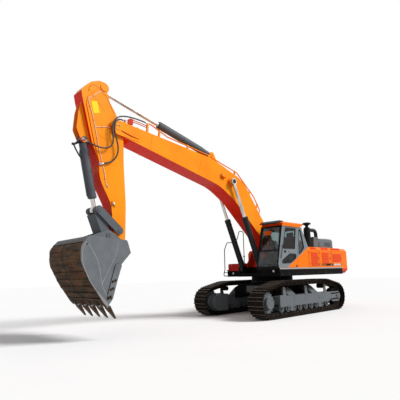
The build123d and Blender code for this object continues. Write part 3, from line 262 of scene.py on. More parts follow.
def paint(color, under, rough=0.3, shade=0.0, marks=(), dust=0.15, specular=0.07):
    """Sprayed paint: orange peel, uneven tone and a little dust low down. Faces that look down or
    forward are painted deeper, as painted shade. Each mark is a mask's call and the colour that it gives."""
    s = Shader()
    tone = s.mix(s.patches(1.1, 4, 0.35, 0.75, 0, 0.6), color, under)
    for mask, other in marks:
        tone = s.mix(mask(s), tone, other)
    # Painted shade: faces that look down or forward are multiplied towards SHADE
    if shade:
        low = s.ramp(s.dot(s.facing(), (0.58, 0, -0.81)), 0.25, 0.7, 0, shade)
        tone = s.mix(low, tone, SHADE, "MULTIPLY")
    height = s.dot(s.place(), (0, 0, 1))
    soil = s.all_of(s.ramp(height, 0.2, 2.0, dust, 0.02), s.patches(6, 6, 0.4))
    tone = s.mix(soil, tone, DUST)
    return s.finish(tone, s.patches(8, 3, low=rough - 0.05, high=rough + 0.12), bump=s.noise(220, 2),
                    strength=0.04, specular=specular)


def steel(color, other, rough, metallic, scale=7.0, edge=(0.16, 0.15, 0.14)):
    """Bare or worn steel, with soil or rust in patches and brighter edges."""
    s = Shader()
    tone = s.mix(s.patches(scale, 8, 0.4, 0.62, rough=0.7), color, other)
    tone = s.mix(s.worn(0.6), tone, edge)
    gloss = s.patches(24, low=rough - 0.1, high=rough + 0.15)
    return s.finish(tone, gloss, metallic, s.noise(70, 5), 0.25, 0.004, 0.15)


def bucket_steel():
    """Grey paint on the sides and the top, scraped to brown steel on the back and inside."""
    s = Shader()
    grey = s.mix(s.patches(2.2, 5), (0.185, 0.2, 0.215), (0.135, 0.147, 0.162))
    # Each wear bar has its own tone
    bars = s.patches(3.0, 3, 0.4, 0.6, stretch=(0.4, 0.5, 1.6))
    brown = s.mix(bars, (0.18, 0.095, 0.044), (0.062, 0.042, 0.028))
    brown = s.mix(s.patches(2.2, 4, 0.56, 0.66), brown, (0.16, 0.035, 0.012))
    brown = s.mix(s.patches(16, 6, 0.45, 0.7, 0, 0.8, stretch=(1, 0.15, 1)), brown, (0.03, 0.018, 0.011))
    # Painted shade in the gap between two bars
    across = s.dot(s.place(), (0, 1, 0))
    painted_gap_shade = s.ramp(s.math("ABSOLUTE", s.math("ADD", across, 0.1)), 0.03, 0.018)
    brown = s.mix(painted_gap_shade, brown, CREVICE_SHADE)
    side = s.math("ABSOLUTE", s.dot(s.facing(), (0, 1, 0)))
    back = s.all_of(s.ramp(side, 0.6, 0.5), s.ramp(s.dot(s.place(), (0, 0, -1)), -2.42, -2.3))
    tone = s.mix(back, grey, brown)
    low = s.ramp(s.dot(s.place(), (0.5, 0, -0.866)), 2.6, 3.3)
    tone = s.mix(s.all_of(low, s.patches(7, 6, 0.4, 0.7, 0, 0.8), back), tone, (0.03, 0.018, 0.01))
    tone = s.mix(s.patches(9, 6, 0.58, 0.72, 0, 0.25, stretch=(1, 1, 0.2)), tone, (0.07, 0.065, 0.06))
    # Painted shade in the bucket's corners and gaps
    tone = s.mix(s.painted_hollow_shade(0.95, 0.06), tone, CREVICE_SHADE)
    return s.finish(tone, s.patches(12, low=0.42, high=0.65), 0.0, s.noise(40, 6), 0.2, 0.004, 0.04)


def track_steel():
    """Dark steel with soil, brighter where the ground rubs its edges."""
    s = Shader()
    tone = s.mix(s.patches(5, 8, 0.4, 0.65, rough=0.7), (0.009, 0.0065, 0.0055), (0.022, 0.0145, 0.01))
    tone = s.mix(s.patches(30, 5, 0.6, 0.8, 0, 0.25), tone, (0.06, 0.042, 0.028))
    # Painted shade in the track's hollows
    tone = s.mix(s.painted_hollow_shade(0.8, 0.05), tone, (0.003, 0.0025, 0.002))
    tone = s.mix(s.worn(0.7, 0.005), tone, (0.095, 0.07, 0.055))
    return s.finish(tone, s.patches(24, low=0.55, high=0.85), 0.0, s.noise(60, 6), 0.3, 0.005, 0.06)


def chrome():
    s = Shader()
    tone = s.mix(s.patches(5, 3, stretch=(1, 1, 0.3)), (0.68, 0.68, 0.66), (0.42, 0.4, 0.36))
    return s.finish(tone, s.patches(12, 2, low=0.25, high=0.34), 1.0)


def moulded(color, other, rough=0.5, grain=300):
    """Plastic or rubber with a fine grain."""
    s = Shader()
    tone = s.mix(s.patches(3), color, other)
    return s.finish(tone, s.patches(20, 3, low=rough - 0.06, high=rough + 0.1), bump=s.noise(grain, 2),
                    strength=0.12, specular=0.18)


def glass(ior):
    """Tinted glass, dulled a little by smears."""
    s = Shader()
    tone = s.mix(s.patches(0.8), (0.34, 0.42, 0.42), (0.46, 0.55, 0.54))
    return s.finish(tone, s.patches(6, 5, 0.45, 0.8, 0, 0.06), Transmission_Weight=1.0, IOR=ior)


def lens():
    s = Shader()
    ribs = s.wave(Scale=40.0)
    tone = s.mix(ribs, (0.9, 0.9, 0.86), (0.6, 0.62, 0.6))
    return s.finish(tone, 0.08, bump=ribs, strength=0.3, Coat_Weight=1.0)


def fabric(color, other):
    s = Shader()
    weave = s.wave(Scale=160.0, Distortion=1.5, Detail=2.0)
    tone = s.mix(s.patches(6, 4, 0.35, 0.65), color, other)
    tone = s.mix(s.all_of(weave, 0.4), tone, other)
    return s.finish(tone, 0.88, bump=weave, strength=0.35, distance=0.001, Sheen_Weight=0.3)


def rubber():
    """Black hose cover with a fine braid under it."""
    s = Shader()
    tone = s.mix(s.patches(12, 4, 0.35), (0.014, 0.013, 0.012), (0.03, 0.027, 0.024))
    return s.finish(tone, s.patches(40, 3, low=0.38, high=0.55), bump=s.noise(350, 2), strength=0.2)


def beyond(start, end, along, out):
    """A place measured from start towards end, and out to the left of that line."""
    run = hypot(end[0] - start[0], end[1] - start[1])
    step = ((end[0] - start[0]) / run, (end[1] - start[1]) / run)
    return (start[0] + along * step[0] - out * step[1], start[1] + along * step[1] + out * step[0])


def neighbours(points):
    """Each point of a closed outline, between the ones before and after it."""
    return zip(points[-1:] + points[:-1], points, points[1:] + points[:1])


def inset(points, distance):
    """Moves each side of a closed outline inwards. Its corners' radii shrink with it."""
    turn = sum(a[0] * b[1] - b[0] * a[1] for a, b in zip(points, points[1:] + points[:1]))
    moved = []
    for before, corner, after in neighbours(points):
        normals = []
        for a, b in ((before, corner), (corner, after)):
            length = hypot(b[0] - a[0], b[1] - a[1]) * (1 if turn > 0 else -1)
            normals.append(((a[1] - b[1]) / length, (b[0] - a[0]) / length))
        share = distance / (1 + normals[0][0] * normals[1][0] + normals[0][1] * normals[1][1])
        moved.append((corner[0] + share * (normals[0][0] + normals[1][0]),
                      corner[1] + share * (normals[0][1] + normals[1][1]), max(corner[2] - distance, 0.002)))
    return moved


def rounded(points, steps=5):
    """A closed outline whose third column is each corner's radius, as plain places."""
    outline = []
    for before, corner, after in neighbours(points):
        here = Vector(corner[:2])
        to_before, to_after = Vector(before[:2]) - here, Vector(after[:2]) - here
        turn = pi - to_before.angle(to_after)
        reach = corner[2] * sin(turn / 2) / cos(turn / 2)
        start, end = here + to_before.normalized() * reach, here + to_after.normalized() * reach
        for k in range(steps + 1):
            t = k / steps
            outline.append(tuple((1 - t)**2 * start + 2 * t * (1 - t) * here + t**2 * end))
    return outline


def oblong(low, high, radius=0.0, steps=5):
    """An upright rectangle between two corners, with rounded corners if it has a radius."""
    corners = [(low[0], low[1]), (high[0], low[1]), (high[0], high[1]), (low[0], high[1])]
    return rounded([(*corner, radius) for corner in corners], steps) if radius else corners


def around(x, z, half_width, half_height, radius, steps):
    """The same about its middle."""
    return oblong((x - half_width, z - half_height), (x + half_width, z + half_height), radius, steps)


def directions(axis):
    """An axis as a unit, and two directions square to it."""
    axis = Vector(axis).normalized()
    across = axis.orthogonal().normalized()
    return axis, across, axis.cross(across)


def circle(middle, across, beside, radius, count, turn=0.0):
    """Places at equal steps on a circle in the plane of two directions."""
    angles = [turn + 2 * pi * k / count for k in range(count)]
    return [middle + (across * cos(angle) + beside * sin(angle)) * radius for angle in angles]


def level_circle(x, y, z, radius, count):
    return circle(Vector((x, y, z)), Vector((1, 0, 0)), Vector((0, 1, 0)), radius, count)


# Turns a place in a view, and a distance across that view, into a place in the frame
LIFT = {
    "side": lambda a, b, t: (a, t, b),
    "plan": lambda a, b, t: (a, b, t),
    "front": lambda a, b, t: (t, a, b),
}


def made_object(mesh, name, material):
    """Turns a finished bmesh into a smooth object of the scene."""
    bmesh.ops.recalc_face_normals(mesh, faces=mesh.faces)
    data = bpy.data.meshes.new(name)
    mesh.to_mesh(data)
    mesh.free()
    data.polygons.foreach_set("use_smooth", [True] * len(data.polygons))
    data.materials.append(MATERIALS[material])
    made = bpy.data.objects.new(name, data)
    scene.collection.objects.link(made)
    return made


class Piece:
    """Small forms gathered into one mesh."""

    def __init__(self):
        self.mesh = bmesh.new()

    def skin(self, rings, closed=False):
        """Joins rings of places, with an end on the first and the last unless they close on themselves."""
        rows = [[self.mesh.verts.new(place) for place in ring] for ring in rings]
        for a, b in zip(rows, rows[1:] + rows[:1] if closed else rows[1:]):
            for i in range(len(a)):
                k = (i + 1) % len(a)
                self.mesh.faces.new((a[i], a[k], b[k], b[i]))
        if not closed:
            self.mesh.faces.new(rows[0][::-1])
            self.mesh.faces.new(rows[-1])

    def turned(self, place, axis, profile, sides=20, ring=False):
        """Turns a profile of radius and height about an axis. A ring is open in its middle."""
        axis, across, beside = directions(axis)
        self.skin([circle(Vector(place) + axis * height, across, beside, radius, sides)
                   for radius, height in profile], ring)

    def bolt(self, place, axis, size):
        """A hexagon head on its washer. The size is the head's radius."""
        self.turned(place, axis, [(size * 1.35, -0.001), (size * 1.35, size * 0.22)], 12)
        self.turned(place, axis, [(size, 0), (size, size * 0.75), (size * 0.8, size * 0.9)], 6)

    def bolts(self, xs, ys, zs, axis, size):
        """A bolt at every crossing of these places."""
        for x in xs:
            for y in ys:
                for z in zs:
                    self.bolt((x, y, z), axis, size)

    def bolt_ring(self, middle, axis, radius, count, size, turn=0.0):
        axis, across, beside = directions(axis)
        for place in circle(Vector(middle), across, beside, radius, count, turn):
            self.bolt(place, axis, size)

    def tube(self, points, radius, sides=8):
        """A round bar or pipe along places. One radius for all of it, or one for each place."""
        points = [Vector(point) for point in points]
        radii = radius if isinstance(radius, list) else [radius] * len(points)
        rings, across = [], None
        for i, point in enumerate(points):
            along = (points[min(i + 1, len(points) - 1)] - points[max(i - 1, 0)]).normalized()
            across = along.orthogonal() if across is None else across - along * across.dot(along)
            across.normalize()
            rings.append(circle(point, across, along.cross(across), radii[i], sides))
        self.skin(rings)

    def bead(self, y, places, radius):
        """A bar along places of x and z, on a side face."""
        self.tube([(x, y, z) for x, z in places], radius)

    def collar(self, hose_end, inner):
        """A hexagon fitting round the end of a hose."""
        along = Vector(inner) - Vector(hose_end)
        self.turned(Vector(hose_end) - along.normalized() * 0.03, along,
                    [(0.027, 0), (0.027, 0.022), (0.023, 0.026), (0.023, 0.05), (0.02, 0.06)], 6)

    def slab(self, outline, low, high, view="side"):
        """A plate with an outline in a view, from low to high across that view."""
        self.skin([[LIFT[view](a, b, t) for a, b in outline] for t in (low, high)])

    def plate(self, outline, face, side, rise, sink=0.001, view="side"):
        """A plate on a face that looks to a side. It rises from the face and sinks into it."""
        self.slab(outline, *sorted((face - side * sink, face + side * rise)), view)

    def box(self, low, high, radius=0.004):
        """A box with rounded upright corners."""
        self.slab(oblong(low, high, radius, 2), low[2], high[2], "plan")

    def rim(self, points, low, high, overlap=0.022):
        """A rubber frame round a window's rounded outline."""
        outer, inner = rounded(inset(points, -overlap)), rounded(inset(points, 0.006))
        self.skin([[(x, y, z) for x, z in ring]
                   for ring, y in ((outer, low), (outer, high), (inner, high), (inner, low))], closed=True)

    def done(self, name, body, material):
        """Makes the object, riding on a body."""
        bmesh.ops.remove_doubles(self.mesh, verts=self.mesh.verts, dist=1e-6)
        piece = made_object(self.mesh, name, material)
        piece.data.set_sharp_from_angle(angle=SHARP)
        if body:
            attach(piece, body)
        return piece


# Hoses over the arm's joint, with the places of the solids that they replace
HOSES = {
    "arm_hose": [(6.1, 0.276, 5.99), (6.325, 0.276, 6.015), (6.6, 0.284, 6.02), (6.87, 0.308, 5.985),
                 (7.085, 0.345, 5.905), (7.215, 0.366, 5.78), (7.278, 0.368, 5.625), (7.282, 0.362, 5.45),
                 (7.245, 0.356, 5.265), (7.247, 0.352, 5.09), (7.335, 0.348, 4.96), (7.48, 0.338, 4.902),
                 (7.65, 0.322, 4.905), (7.82, 0.285, 4.955), (7.94, 0.21, 5.03)],
    "link_hose": [(6.9, 0.275, 5.865), (7.06, 0.315, 5.862), (7.172, 0.345, 5.745), (7.215, 0.35, 5.57),
                  (7.19, 0.348, 5.38), (7.12, 0.342, 5.19), (7.072, 0.335, 5.0), (7.088, 0.325, 4.81),
                  (7.18, 0.31, 4.64), (7.345, 0.29, 4.53), (7.495, 0.27, 4.49)],
}
HOSE_RADIUS = 0.021


def add_hoses():
    """Each hose is a tube along a smooth spline, from the boom to the arm."""
    for name, places in HOSES.items():
        data = bpy.data.curves.new(name + "_line", "CURVE")
        data.dimensions = "3D"
        data.resolution_u = 10
        spline = data.splines.new("NURBS")
        spline.points.add(len(places) - 1)
        for point, place in zip(spline.points, places):
            point.co = (*place, 1)
        spline.order_u = 3
        spline.use_endpoint_u = True
        line = bpy.data.objects.new(name + "_line", data)
        traced = bpy.data.meshes.new_from_object(line)
        path = [vertex.co.copy() for vertex in traced.vertices]
        bpy.data.objects.remove(line)
        bpy.data.curves.remove(data)
        bpy.data.meshes.remove(traced)
        piece = Piece()
        piece.tube(path, HOSE_RADIUS, 14)
        hose = piece.done(name + "_cover", None, "hose_rubber")
        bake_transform(hose)
        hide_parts(name)


def within(low, high):
    """A mask's call for a box."""
    return lambda s: s.box(low, high)


def painted_slat_shade(side):
    """A mask's call for the louvres that stand out of a side door, which get a deep red of painted shade."""
    return lambda s: s.past((0, side, 0), 1.4965, 0.0006)


def orange_corner(s):
    """The corner of the cab below the housing's slanted line."""
    return s.all_of(s.past((-0.4765, 0, -0.8792), -1.9535), s.box((None, 1.44, 1.652), (None, None, None)))


def cab_front(s):
    return s.ramp(s.dot(s.facing(), (1, 0, 0)), 0.5, 0.55)


MATERIALS = {
    "orange_paint": paint(ORANGE, DEEP_ORANGE, shade=0.9),
    "arm_paint": paint(SUN_ORANGE, ORANGE, shade=1.0, marks=[
        (within((7.92, 0.165, 4.99), (8.1, 0.27, 5.15)), LIGHT_GREY),
        (within((7.46, 0.238, 4.43), (7.62, 0.3, 4.52)), LIGHT_GREY)]),
    "boom_paint": paint(SUN_ORANGE, ORANGE, shade=1.0, marks=[
        (within((6.81, 0.245, 5.83), (6.94, 0.305, 5.9)), LIGHT_GREY)]),
    # The louvres that stand out of the side doors, in a deep red of painted shade
    "left_door_paint": paint(ORANGE, DEEP_ORANGE, marks=[(painted_slat_shade(1), SLAT_SHADE_ORANGE)]),
    "right_door_paint": paint(ORANGE, DEEP_ORANGE, marks=[(painted_slat_shade(-1), SLAT_SHADE_ORANGE)]),
    # Louvres in the housing's shoulder, a deep red of painted shade in their recesses
    "housing_paint": paint(ORANGE, DEEP_ORANGE, marks=[
        (within((low, 1.41, 2.327), (high, 1.475, 2.403)), SLAT_SHADE_ORANGE)
        for low, high in ((-0.98, -0.52), (-1.87, -1.32), (-2.81, -2.08))]),
    # Below 1.6 m the counterweight is a deeper red, as painted shade
    "tail_paint": paint(ORANGE, DEEP_ORANGE, shade=0.6, marks=[
        (within((None, None, None), (None, None, 1.6)), (0.85, 0.085, 0.012))]),
    "red_paint": paint((0.62, 0.018, 0.012), (0.45, 0.01, 0.008), 0.25),
    # Inside, front, foot, the light strip in line with the housing's, and the roof cap's flange
    "cab_paint": paint(CAB_GREY, DEEP_CAB_GREY, 0.36, marks=[
        (within((-0.268, 0.604, 1.64), (1.54, 1.4505, 3.126)), (0.14, 0.155, 0.18)),
        (cab_front, BLACK),
        (within((None, None, None), (None, None, 1.652)), BLACK),
        (within((None, 1.47, 1.602), (1.5, None, 1.652)), LIGHT_GREY),
        (within((None, None, 3.104), (1.235, None, None)), ORANGE),
        (orange_corner, ORANGE)]),
    "cab_door_paint": paint(CAB_GREY, DEEP_CAB_GREY, 0.36, marks=[
        (within((None, None, None), (None, 1.4505, None)), (0.08, 0.088, 0.1)),
        (orange_corner, ORANGE)]),
    "grey_paint": paint((0.156, 0.174, 0.188), (0.125, 0.139, 0.15), 0.42, dust=0.12),
    "hood_paint": paint((0.165, 0.187, 0.203), (0.12, 0.136, 0.148), 0.35),
    "dark_paint": paint((0.036, 0.038, 0.043), (0.02, 0.021, 0.024), 0.36),
    "cylinder_paint": paint((0.12, 0.134, 0.152), (0.07, 0.078, 0.09), 0.33),
    "black_paint": paint(BLACK, (0.012, 0.0115, 0.011), 0.5, dust=0.04, specular=0.03),
    # Light strips under the housings, and the boom foot's ears in a deep red, which is their orange in
    # painted shade
    "frame_paint": paint(BLACK, (0.013, 0.011, 0.01), 0.5, dust=0.03, specular=0.03, marks=[
        (within((None, 1.2, 1.6005), (None, None, 1.6505)), LIGHT_GREY),
        (within((None, None, 1.6005), (None, -1.2, 1.6505)), LIGHT_GREY),
        (within((-0.6, -0.56, 1.72), (1.0, 0.56, None)), (0.62, 0.035, 0.014))]),
    "cleaner_paint": paint((0.014, 0.014, 0.015), BLACK, 0.45, marks=[
        (within((None, None, None), (-0.985, None, None)), (0.15, 0.155, 0.16))]),
    "engine_paint": paint((0.1, 0.1, 0.1), BLACK, 0.5),
    "plate_yellow": paint((0.92, 0.75, 0.02), (0.85, 0.66, 0.02)),
    "stripe_black": paint((0.012, 0.012, 0.012), BLACK, 0.35),
    "stripe_grey": paint((0.62, 0.62, 0.6), (0.5, 0.5, 0.5), 0.35),
    "reflector": moulded((0.55, 0.01, 0.008), (0.4, 0.008, 0.006), 0.15, 120),
    "amber": paint((0.85, 0.11, 0.01), (0.7, 0.08, 0.01)),
    "track_steel": track_steel(),
    "link_steel": steel((0.03, 0.026, 0.023), (0.055, 0.042, 0.033), 0.5, 0.1, edge=(0.2, 0.18, 0.16)),
    # Worn steel on the shoes' edges, and also a painted highlight
    "shoe_edge": steel((0.17, 0.14, 0.115), (0.07, 0.054, 0.043), 0.5, 0.1, 12.0),
    "bucket_steel": bucket_steel(),
    "link_paint": paint((0.13, 0.145, 0.16), (0.085, 0.092, 0.1), 0.42),
    "tooth_steel": steel((0.022, 0.014, 0.009), (0.06, 0.03, 0.014), 0.5, 0.1, 9.0, (0.14, 0.085, 0.045)),
    "weld_steel": paint((0.5, 0.49, 0.46), (0.36, 0.35, 0.32), 0.5),
    # Deep red of orange in painted shade, on the rib under the boom's tip and the arm's border; the boom's
    # pipes and hose block share it
    "seam_paint": paint((0.62, 0.05, 0.012), (0.5, 0.035, 0.01), 0.4),
    "lip_paint": paint((0.3, 0.3, 0.3), (0.2, 0.19, 0.18), 0.5),
    "grease_pipe": paint((0.85, 0.72, 0.62), (0.75, 0.55, 0.42), 0.35),
    "bolt_steel": steel((0.17, 0.17, 0.175), (0.09, 0.085, 0.08), 0.4, 0.6, 30),
    "fitting_steel": steel((0.62, 0.6, 0.56), (0.42, 0.4, 0.36), 0.3, 0.7, 30),
    "chrome_rod": chrome(),
    "black_plastic": moulded((0.01, 0.01, 0.011), (0.02, 0.02, 0.022)),
    "visor_plastic": moulded((0.012, 0.03, 0.034), (0.02, 0.042, 0.046), 0.25),
    "screen": moulded((0.01, 0.03, 0.035), (0.015, 0.04, 0.045), 0.12),
    "cab_glass": glass(1.4),
    "door_glass": glass(1.22),
    "lamp_lens": lens(),
    "seat_fabric": fabric((0.3, 0.008, 0.01), (0.16, 0.006, 0.008)),
    "seat_trim": fabric((0.02, 0.02, 0.022), (0.035, 0.035, 0.038)),
    "hose_rubber": rubber(),
}
for name, material in MATERIALS.items():
    material.name = name


def by_member(groups):
    return {member: group for group, members in groups.items() for member in members.split()}


# Nodes by finish, where their own slot's finish isn't used
FINISHES = by_member({
    "arm_paint": "arm",
    "boom_paint": "boom",
    "left_door_paint": "left_door_front left_door_middle left_door_rear",
    "right_door_paint": "right_door",
    "housing_paint": "left_housing",
    "tail_paint": "counterweight",
    "cab_paint": "cab_shell",
    "cab_door_paint": "cab_door",
    "hood_paint": "engine_hood",
    "frame_paint": "main_frame",
    "cleaner_paint": "air_cleaner",
    "visor_plastic": "cab_visor",
    "link_paint": "guide_links bucket_link",
    "cylinder_paint": "arm_cylinder_barrel bucket_cylinder_barrel",
    "dark_paint": "boom_cylinder_barrel_left boom_cylinder_barrel_right handrail centre_cover",
    "tooth_steel": "bucket_teeth",
    "door_glass": "door_glass",
})


def dress_nodes():
    slots = {part["node"]: part["material_slot"] for part in frame["record"]["subparts"]}
    for name, node in nodes.items():
        node.data.materials.clear()
        node.data.materials.append(MATERIALS[FINISHES.get(name, slots[name])])


def track_pins():
    """Places of the links' pins, at equal steps round the track."""
    circles = [(SPROCKET_X, SPROCKET_Z, SPROCKET_PITCH_RADIUS), (CARRIER_X, 0.892, 0.218)]
    circles += [(-x, z, r) for x, z, r in reversed(circles)]
    lines = []
    for (x, z, r), (x_next, z_next, r_next) in zip(circles, circles[1:] + circles[:1]):
        run = hypot(x_next - x, z_next - z)
        along = ((x_next - x) / run, (z_next - z) / run)
        lean = (r - r_next) / run
        flat = (1 - lean**2) ** 0.5
        normal = (along[0] * lean + along[1] * flat, along[1] * lean - along[0] * flat)
        lines.append(((x + r * normal[0], z + r * normal[1]),
                      (x_next + r_next * normal[0], z_next + r_next * normal[1])))
    stretches = []
    for i, (x, z, r) in enumerate(circles):
        arrive, (leave, end) = lines[i - 1][1], lines[i]
        start = atan2(arrive[1] - z, arrive[0] - x)
        turn = (atan2(leave[1] - z, leave[0] - x) - start) % (2 * pi)
        stretches.append((r * turn, (x, z, r, start)))
        stretches.append((hypot(end[0] - leave[0], end[1] - leave[1]), (leave, end)))
    step = sum(length for length, _ in stretches) / SHOES
    first = -SPROCKET_X % step
    pins = []
    for i in range(SHOES):
        left = first + i * step
        for length, course in stretches:
            if left < length:
                break
            left -= length
        if len(course) == 2:
            pins.append(beyond(*course, left, 0))
        else:
            x, z, r, start = course
            pins.append((x + r * cos(start + left / r), z + r * sin(start + left / r)))
    return pins


def add_tracks():
    """Bolts and light worn edges on the shoes, which also stand for a painted highlight, and the link plates
    and pins of the chains.
    """
    pins = track_pins()
    bolts, plates, heads, edges = Piece(), Piece(), Piece(), Piece()
    bolt_head = [(0.013, 0), (0.013, 0.009), (0.009, 0.012)]
    pin_head = [(0.026, 0), (0.026, 0.0012), (0.017, 0.0012), (0.015, 0)]
    for pin, after in zip(pins, pins[1:] + pins[:1]):
        pitch = hypot(after[0] - pin[0], after[1] - pin[1])
        outward = (after[1] - pin[1], 0, pin[0] - after[0])
        link = [beyond(pin, after, a, out) for a, out in (
            (-0.045, -0.025), (-0.03, 0.045), (0.03, 0.045), (0.055, 0.01), (pitch - 0.105, 0.01),
            (pitch - 0.085, 0.045), (pitch - 0.055, 0.045), (pitch - 0.055, -0.05), (-0.02, -0.05))]
        for side in SIDES:
            middle = side * GAUGE / 2
            for rail in (-0.085, 0.085):
                for along in (-0.026, 0.026):
                    x, z = beyond(pin, after, pitch / 2 + along, -0.0758)
                    bolts.turned((x, middle + rail, z), outward, bolt_head, 6)
            # Light strips on the shoes' edges: worn steel, and also a painted highlight
            for along in (-pitch / 4, pitch / 4):
                strip = [beyond(pin, after, pitch / 2 + along + a, -level) for a, level in
                         ((0.011, 0.1), (0.0065, 0.1123), (-0.0065, 0.1123), (-0.011, 0.1))]
                edges.slab(strip, middle - SHOE_WIDTH / 2, middle + SHOE_WIDTH / 2)
            for face in (middle + side * 0.115, middle - side * 0.055):
                plates.plate(link, face, side, 0.0035)
                heads.turned((pin[0], face + side * 0.003, pin[1]), (0, side, 0), pin_head, 10)
    bolts.done("shoe_bolts", "undercarriage", "link_steel")
    edges.done("shoe_edges", "undercarriage", "shoe_edge")
    plates.done("link_plates", "undercarriage", "track_steel")
    heads.done("link_pins", "undercarriage", "link_steel")


def add_undercarriage():
    bolts, covers, dark = Piece(), Piece(), Piece()
    roller_cap = [(0.038, 0), (0.038, 0.006), (0.03, 0.009), (0.012, 0.009)]
    carrier_cap = [(0.034, 0), (0.034, 0.006), (0.02, 0.008)]
    for side in SIDES:
        axis = (0, side, 0)
        middle = side * GAUGE / 2
        face = middle + side * FRAME_OUT
        hub = (SPROCKET_X, middle + side * 0.245, SPROCKET_Z)
        bolts.bolt_ring((SPROCKET_X, middle + side * 0.255, SPROCKET_Z), axis, 0.1725, 20, 0.009)
        bolts.bolt_ring(hub, axis, 0.085, 3, 0.011, 0.6)
        covers.turned(hub, axis, [(0.05, 0), (0.05, 0.004), (0.044, 0.007), (0.02, 0.008)], 24)
        # Cover of the track's tensioner, and low ribs beside it
        covers.plate(oblong((-1.3, 0.5), (-0.86, 0.64), 0.03), face, side, 0.008, 0)
        bolts.bolts((-1.27, -1.08, -0.89), (face + side * 0.008,), (0.525, 0.615), axis, 0.01)
        for x in (-0.6, 0.05, 0.75):
            covers.plate(oblong((x - 0.006, 0.44), (x + 0.006, 0.7)), face, side, 0.004, 0.002)
        # Bottom rollers' bolts and caps
        for x in ROLLERS:
            bolts.bolts((x - 0.043, x + 0.043), (face,), (0.375,), axis, 0.01)
            dark.turned((x, face - side * 0.001, 0.2975), axis, roller_cap, 16)
        bolts.bolts((-0.9725, -0.8525, 0.8525, 0.9725), (face,), (0.3,), axis, 0.011)
        bolts.bolts((1.64,), (middle - 0.15, middle + 0.15), (0.46, 0.66), (1, 0, 0), 0.012)
        # Front guard's rib and bolts
        guard = face + side * 0.04
        covers.plate(oblong((1.43, 0.53), (1.63, 0.545)), guard, side, 0.006, 0.002)
        bolts.bolts((1.46, 1.6), (guard,), (0.39, 0.66), axis, 0.012)
        # Carrier rollers' caps
        for x in (-CARRIER_X, 0, CARRIER_X):
            dark.turned((x, face - side * 0.001, 0.9385), axis, carrier_cap, 16)
        # Bolts of the idler's yoke and of the motor's inner cover
        bolts.bolts((-SPROCKET_X - 0.08, -SPROCKET_X + 0.08), (face,),
                    (SPROCKET_Z - 0.07, SPROCKET_Z + 0.07), axis, 0.011)
        for x, zs in ((1.66, (0.2, 0.47, 0.74)), (1.95, (0.18, 0.76)), (2.26, (0.28, 0.66)), (2.32, (0.47,))):
            bolts.bolts((x,), (side * MOTOR_COVER,), zs, (0, -side, 0), 0.011)
    # Covers on the car body's front and rear, bolted
    for end in SIDES:
        face = end * BODY_END
        covers.plate(oblong((-0.42, 0.79), (0.42, 1.03), 0.02), face, end, 0.008, 0, "front")
        bolts.bolts((face + end * 0.008,), (-0.38, -0.13, 0.13, 0.38), (0.815, 1.005), (end, 0, 0), 0.013)
        bolts.bolts((face + end * 0.04,), (-0.7, -0.56, 0.56, 0.7), (1.085,), (end, 0, 0), 0.009)
    # Bolts of the slewing ring
    for place in level_circle(0, 0, RING_HEIGHT, RING_RADIUS, RING_BOLTS):
        bolts.bolt(place, (place.x, place.y, 0), 0.012)
    bolts.done("undercarriage_bolts", "undercarriage", "bolt_steel")
    covers.done("undercarriage_covers", "undercarriage", "grey_paint")
    dark.done("roller_caps", "undercarriage", "link_steel")


# Pins' ends: pin, distance from the middle, radius, body, finish
PIN_CAPS = (
    (BOOM_FOOT, 0.45, 0.115, "house", "dark_paint"), (LIFT_BASE, 0.55, 0.085, "house", "dark_paint"),
    (ARM_PIN, 0.3, 0.1, "boom", "boom_paint"), (SWING_BASE, 0.13, 0.07, "boom", "boom_paint"),
    (CURL_BASE, 0.12, 0.065, "arm", "cylinder_paint"),
    (GUIDE_PIN, 0.285, 0.062, "arm", "link_paint"), (BUCKET_PIN, 0.29, 0.085, "arm", "link_paint"),
    (CURL_EYE, 0.285, 0.066, "guide_links", "link_paint"), (LINK_PIN, 0.29, 0.075, "bucket", "link_paint"),
    (LIFT_EYE, 0.485, 0.075, "boom_cylinder_rods", "dark_paint"),
)


def add_pin_caps():
    """Collars and bolts on the ends of the pins."""
    groups = {}
    for (x, z), distance, radius, body, finish in PIN_CAPS:
        collars, bolts = groups.setdefault((body, finish), (Piece(), Piece()))
        collar = [(radius, -0.001), (radius, 0.009), (radius - 0.008, 0.013), (radius * 0.45, 0.013),
                  (radius * 0.4, 0.009)]
        for side in SIDES:
            axis = (0, side, 0)
            collars.turned((x, side * distance, z), axis, collar, 28)
            bolts.bolt_ring((x, side * (distance + 0.013), z), axis, radius * 0.68, 3, radius * 0.12, 0.5)
    for (body, finish), (collars, bolts) in groups.items():
        collars.done(f"{body}_pin_collars_{finish}", body, finish)
        bolts.done(f"{body}_pin_bolts_{finish}", body, "bolt_steel")


# Cylinders: base, eye, y, radius of the barrel, its end, side of its pipe, body of the barrel, finish
CYLINDERS = (
    (LIFT_BASE, LIFT_EYE, 0.425, 0.105, 1.96, -1, "boom_cylinder_barrels", "dark_paint"),
    (LIFT_BASE, LIFT_EYE, -0.425, 0.105, 1.96, -1, "boom_cylinder_barrels", "dark_paint"),
    (SWING_BASE, SWING_EYE, 0, 0.112, 2.27, 1, "arm_cylinder_barrel", "cylinder_paint"),
    (CURL_BASE, CURL_EYE, 0, 0.111, 1.57, 1, "bucket_cylinder_barrel", "cylinder_paint"),
)


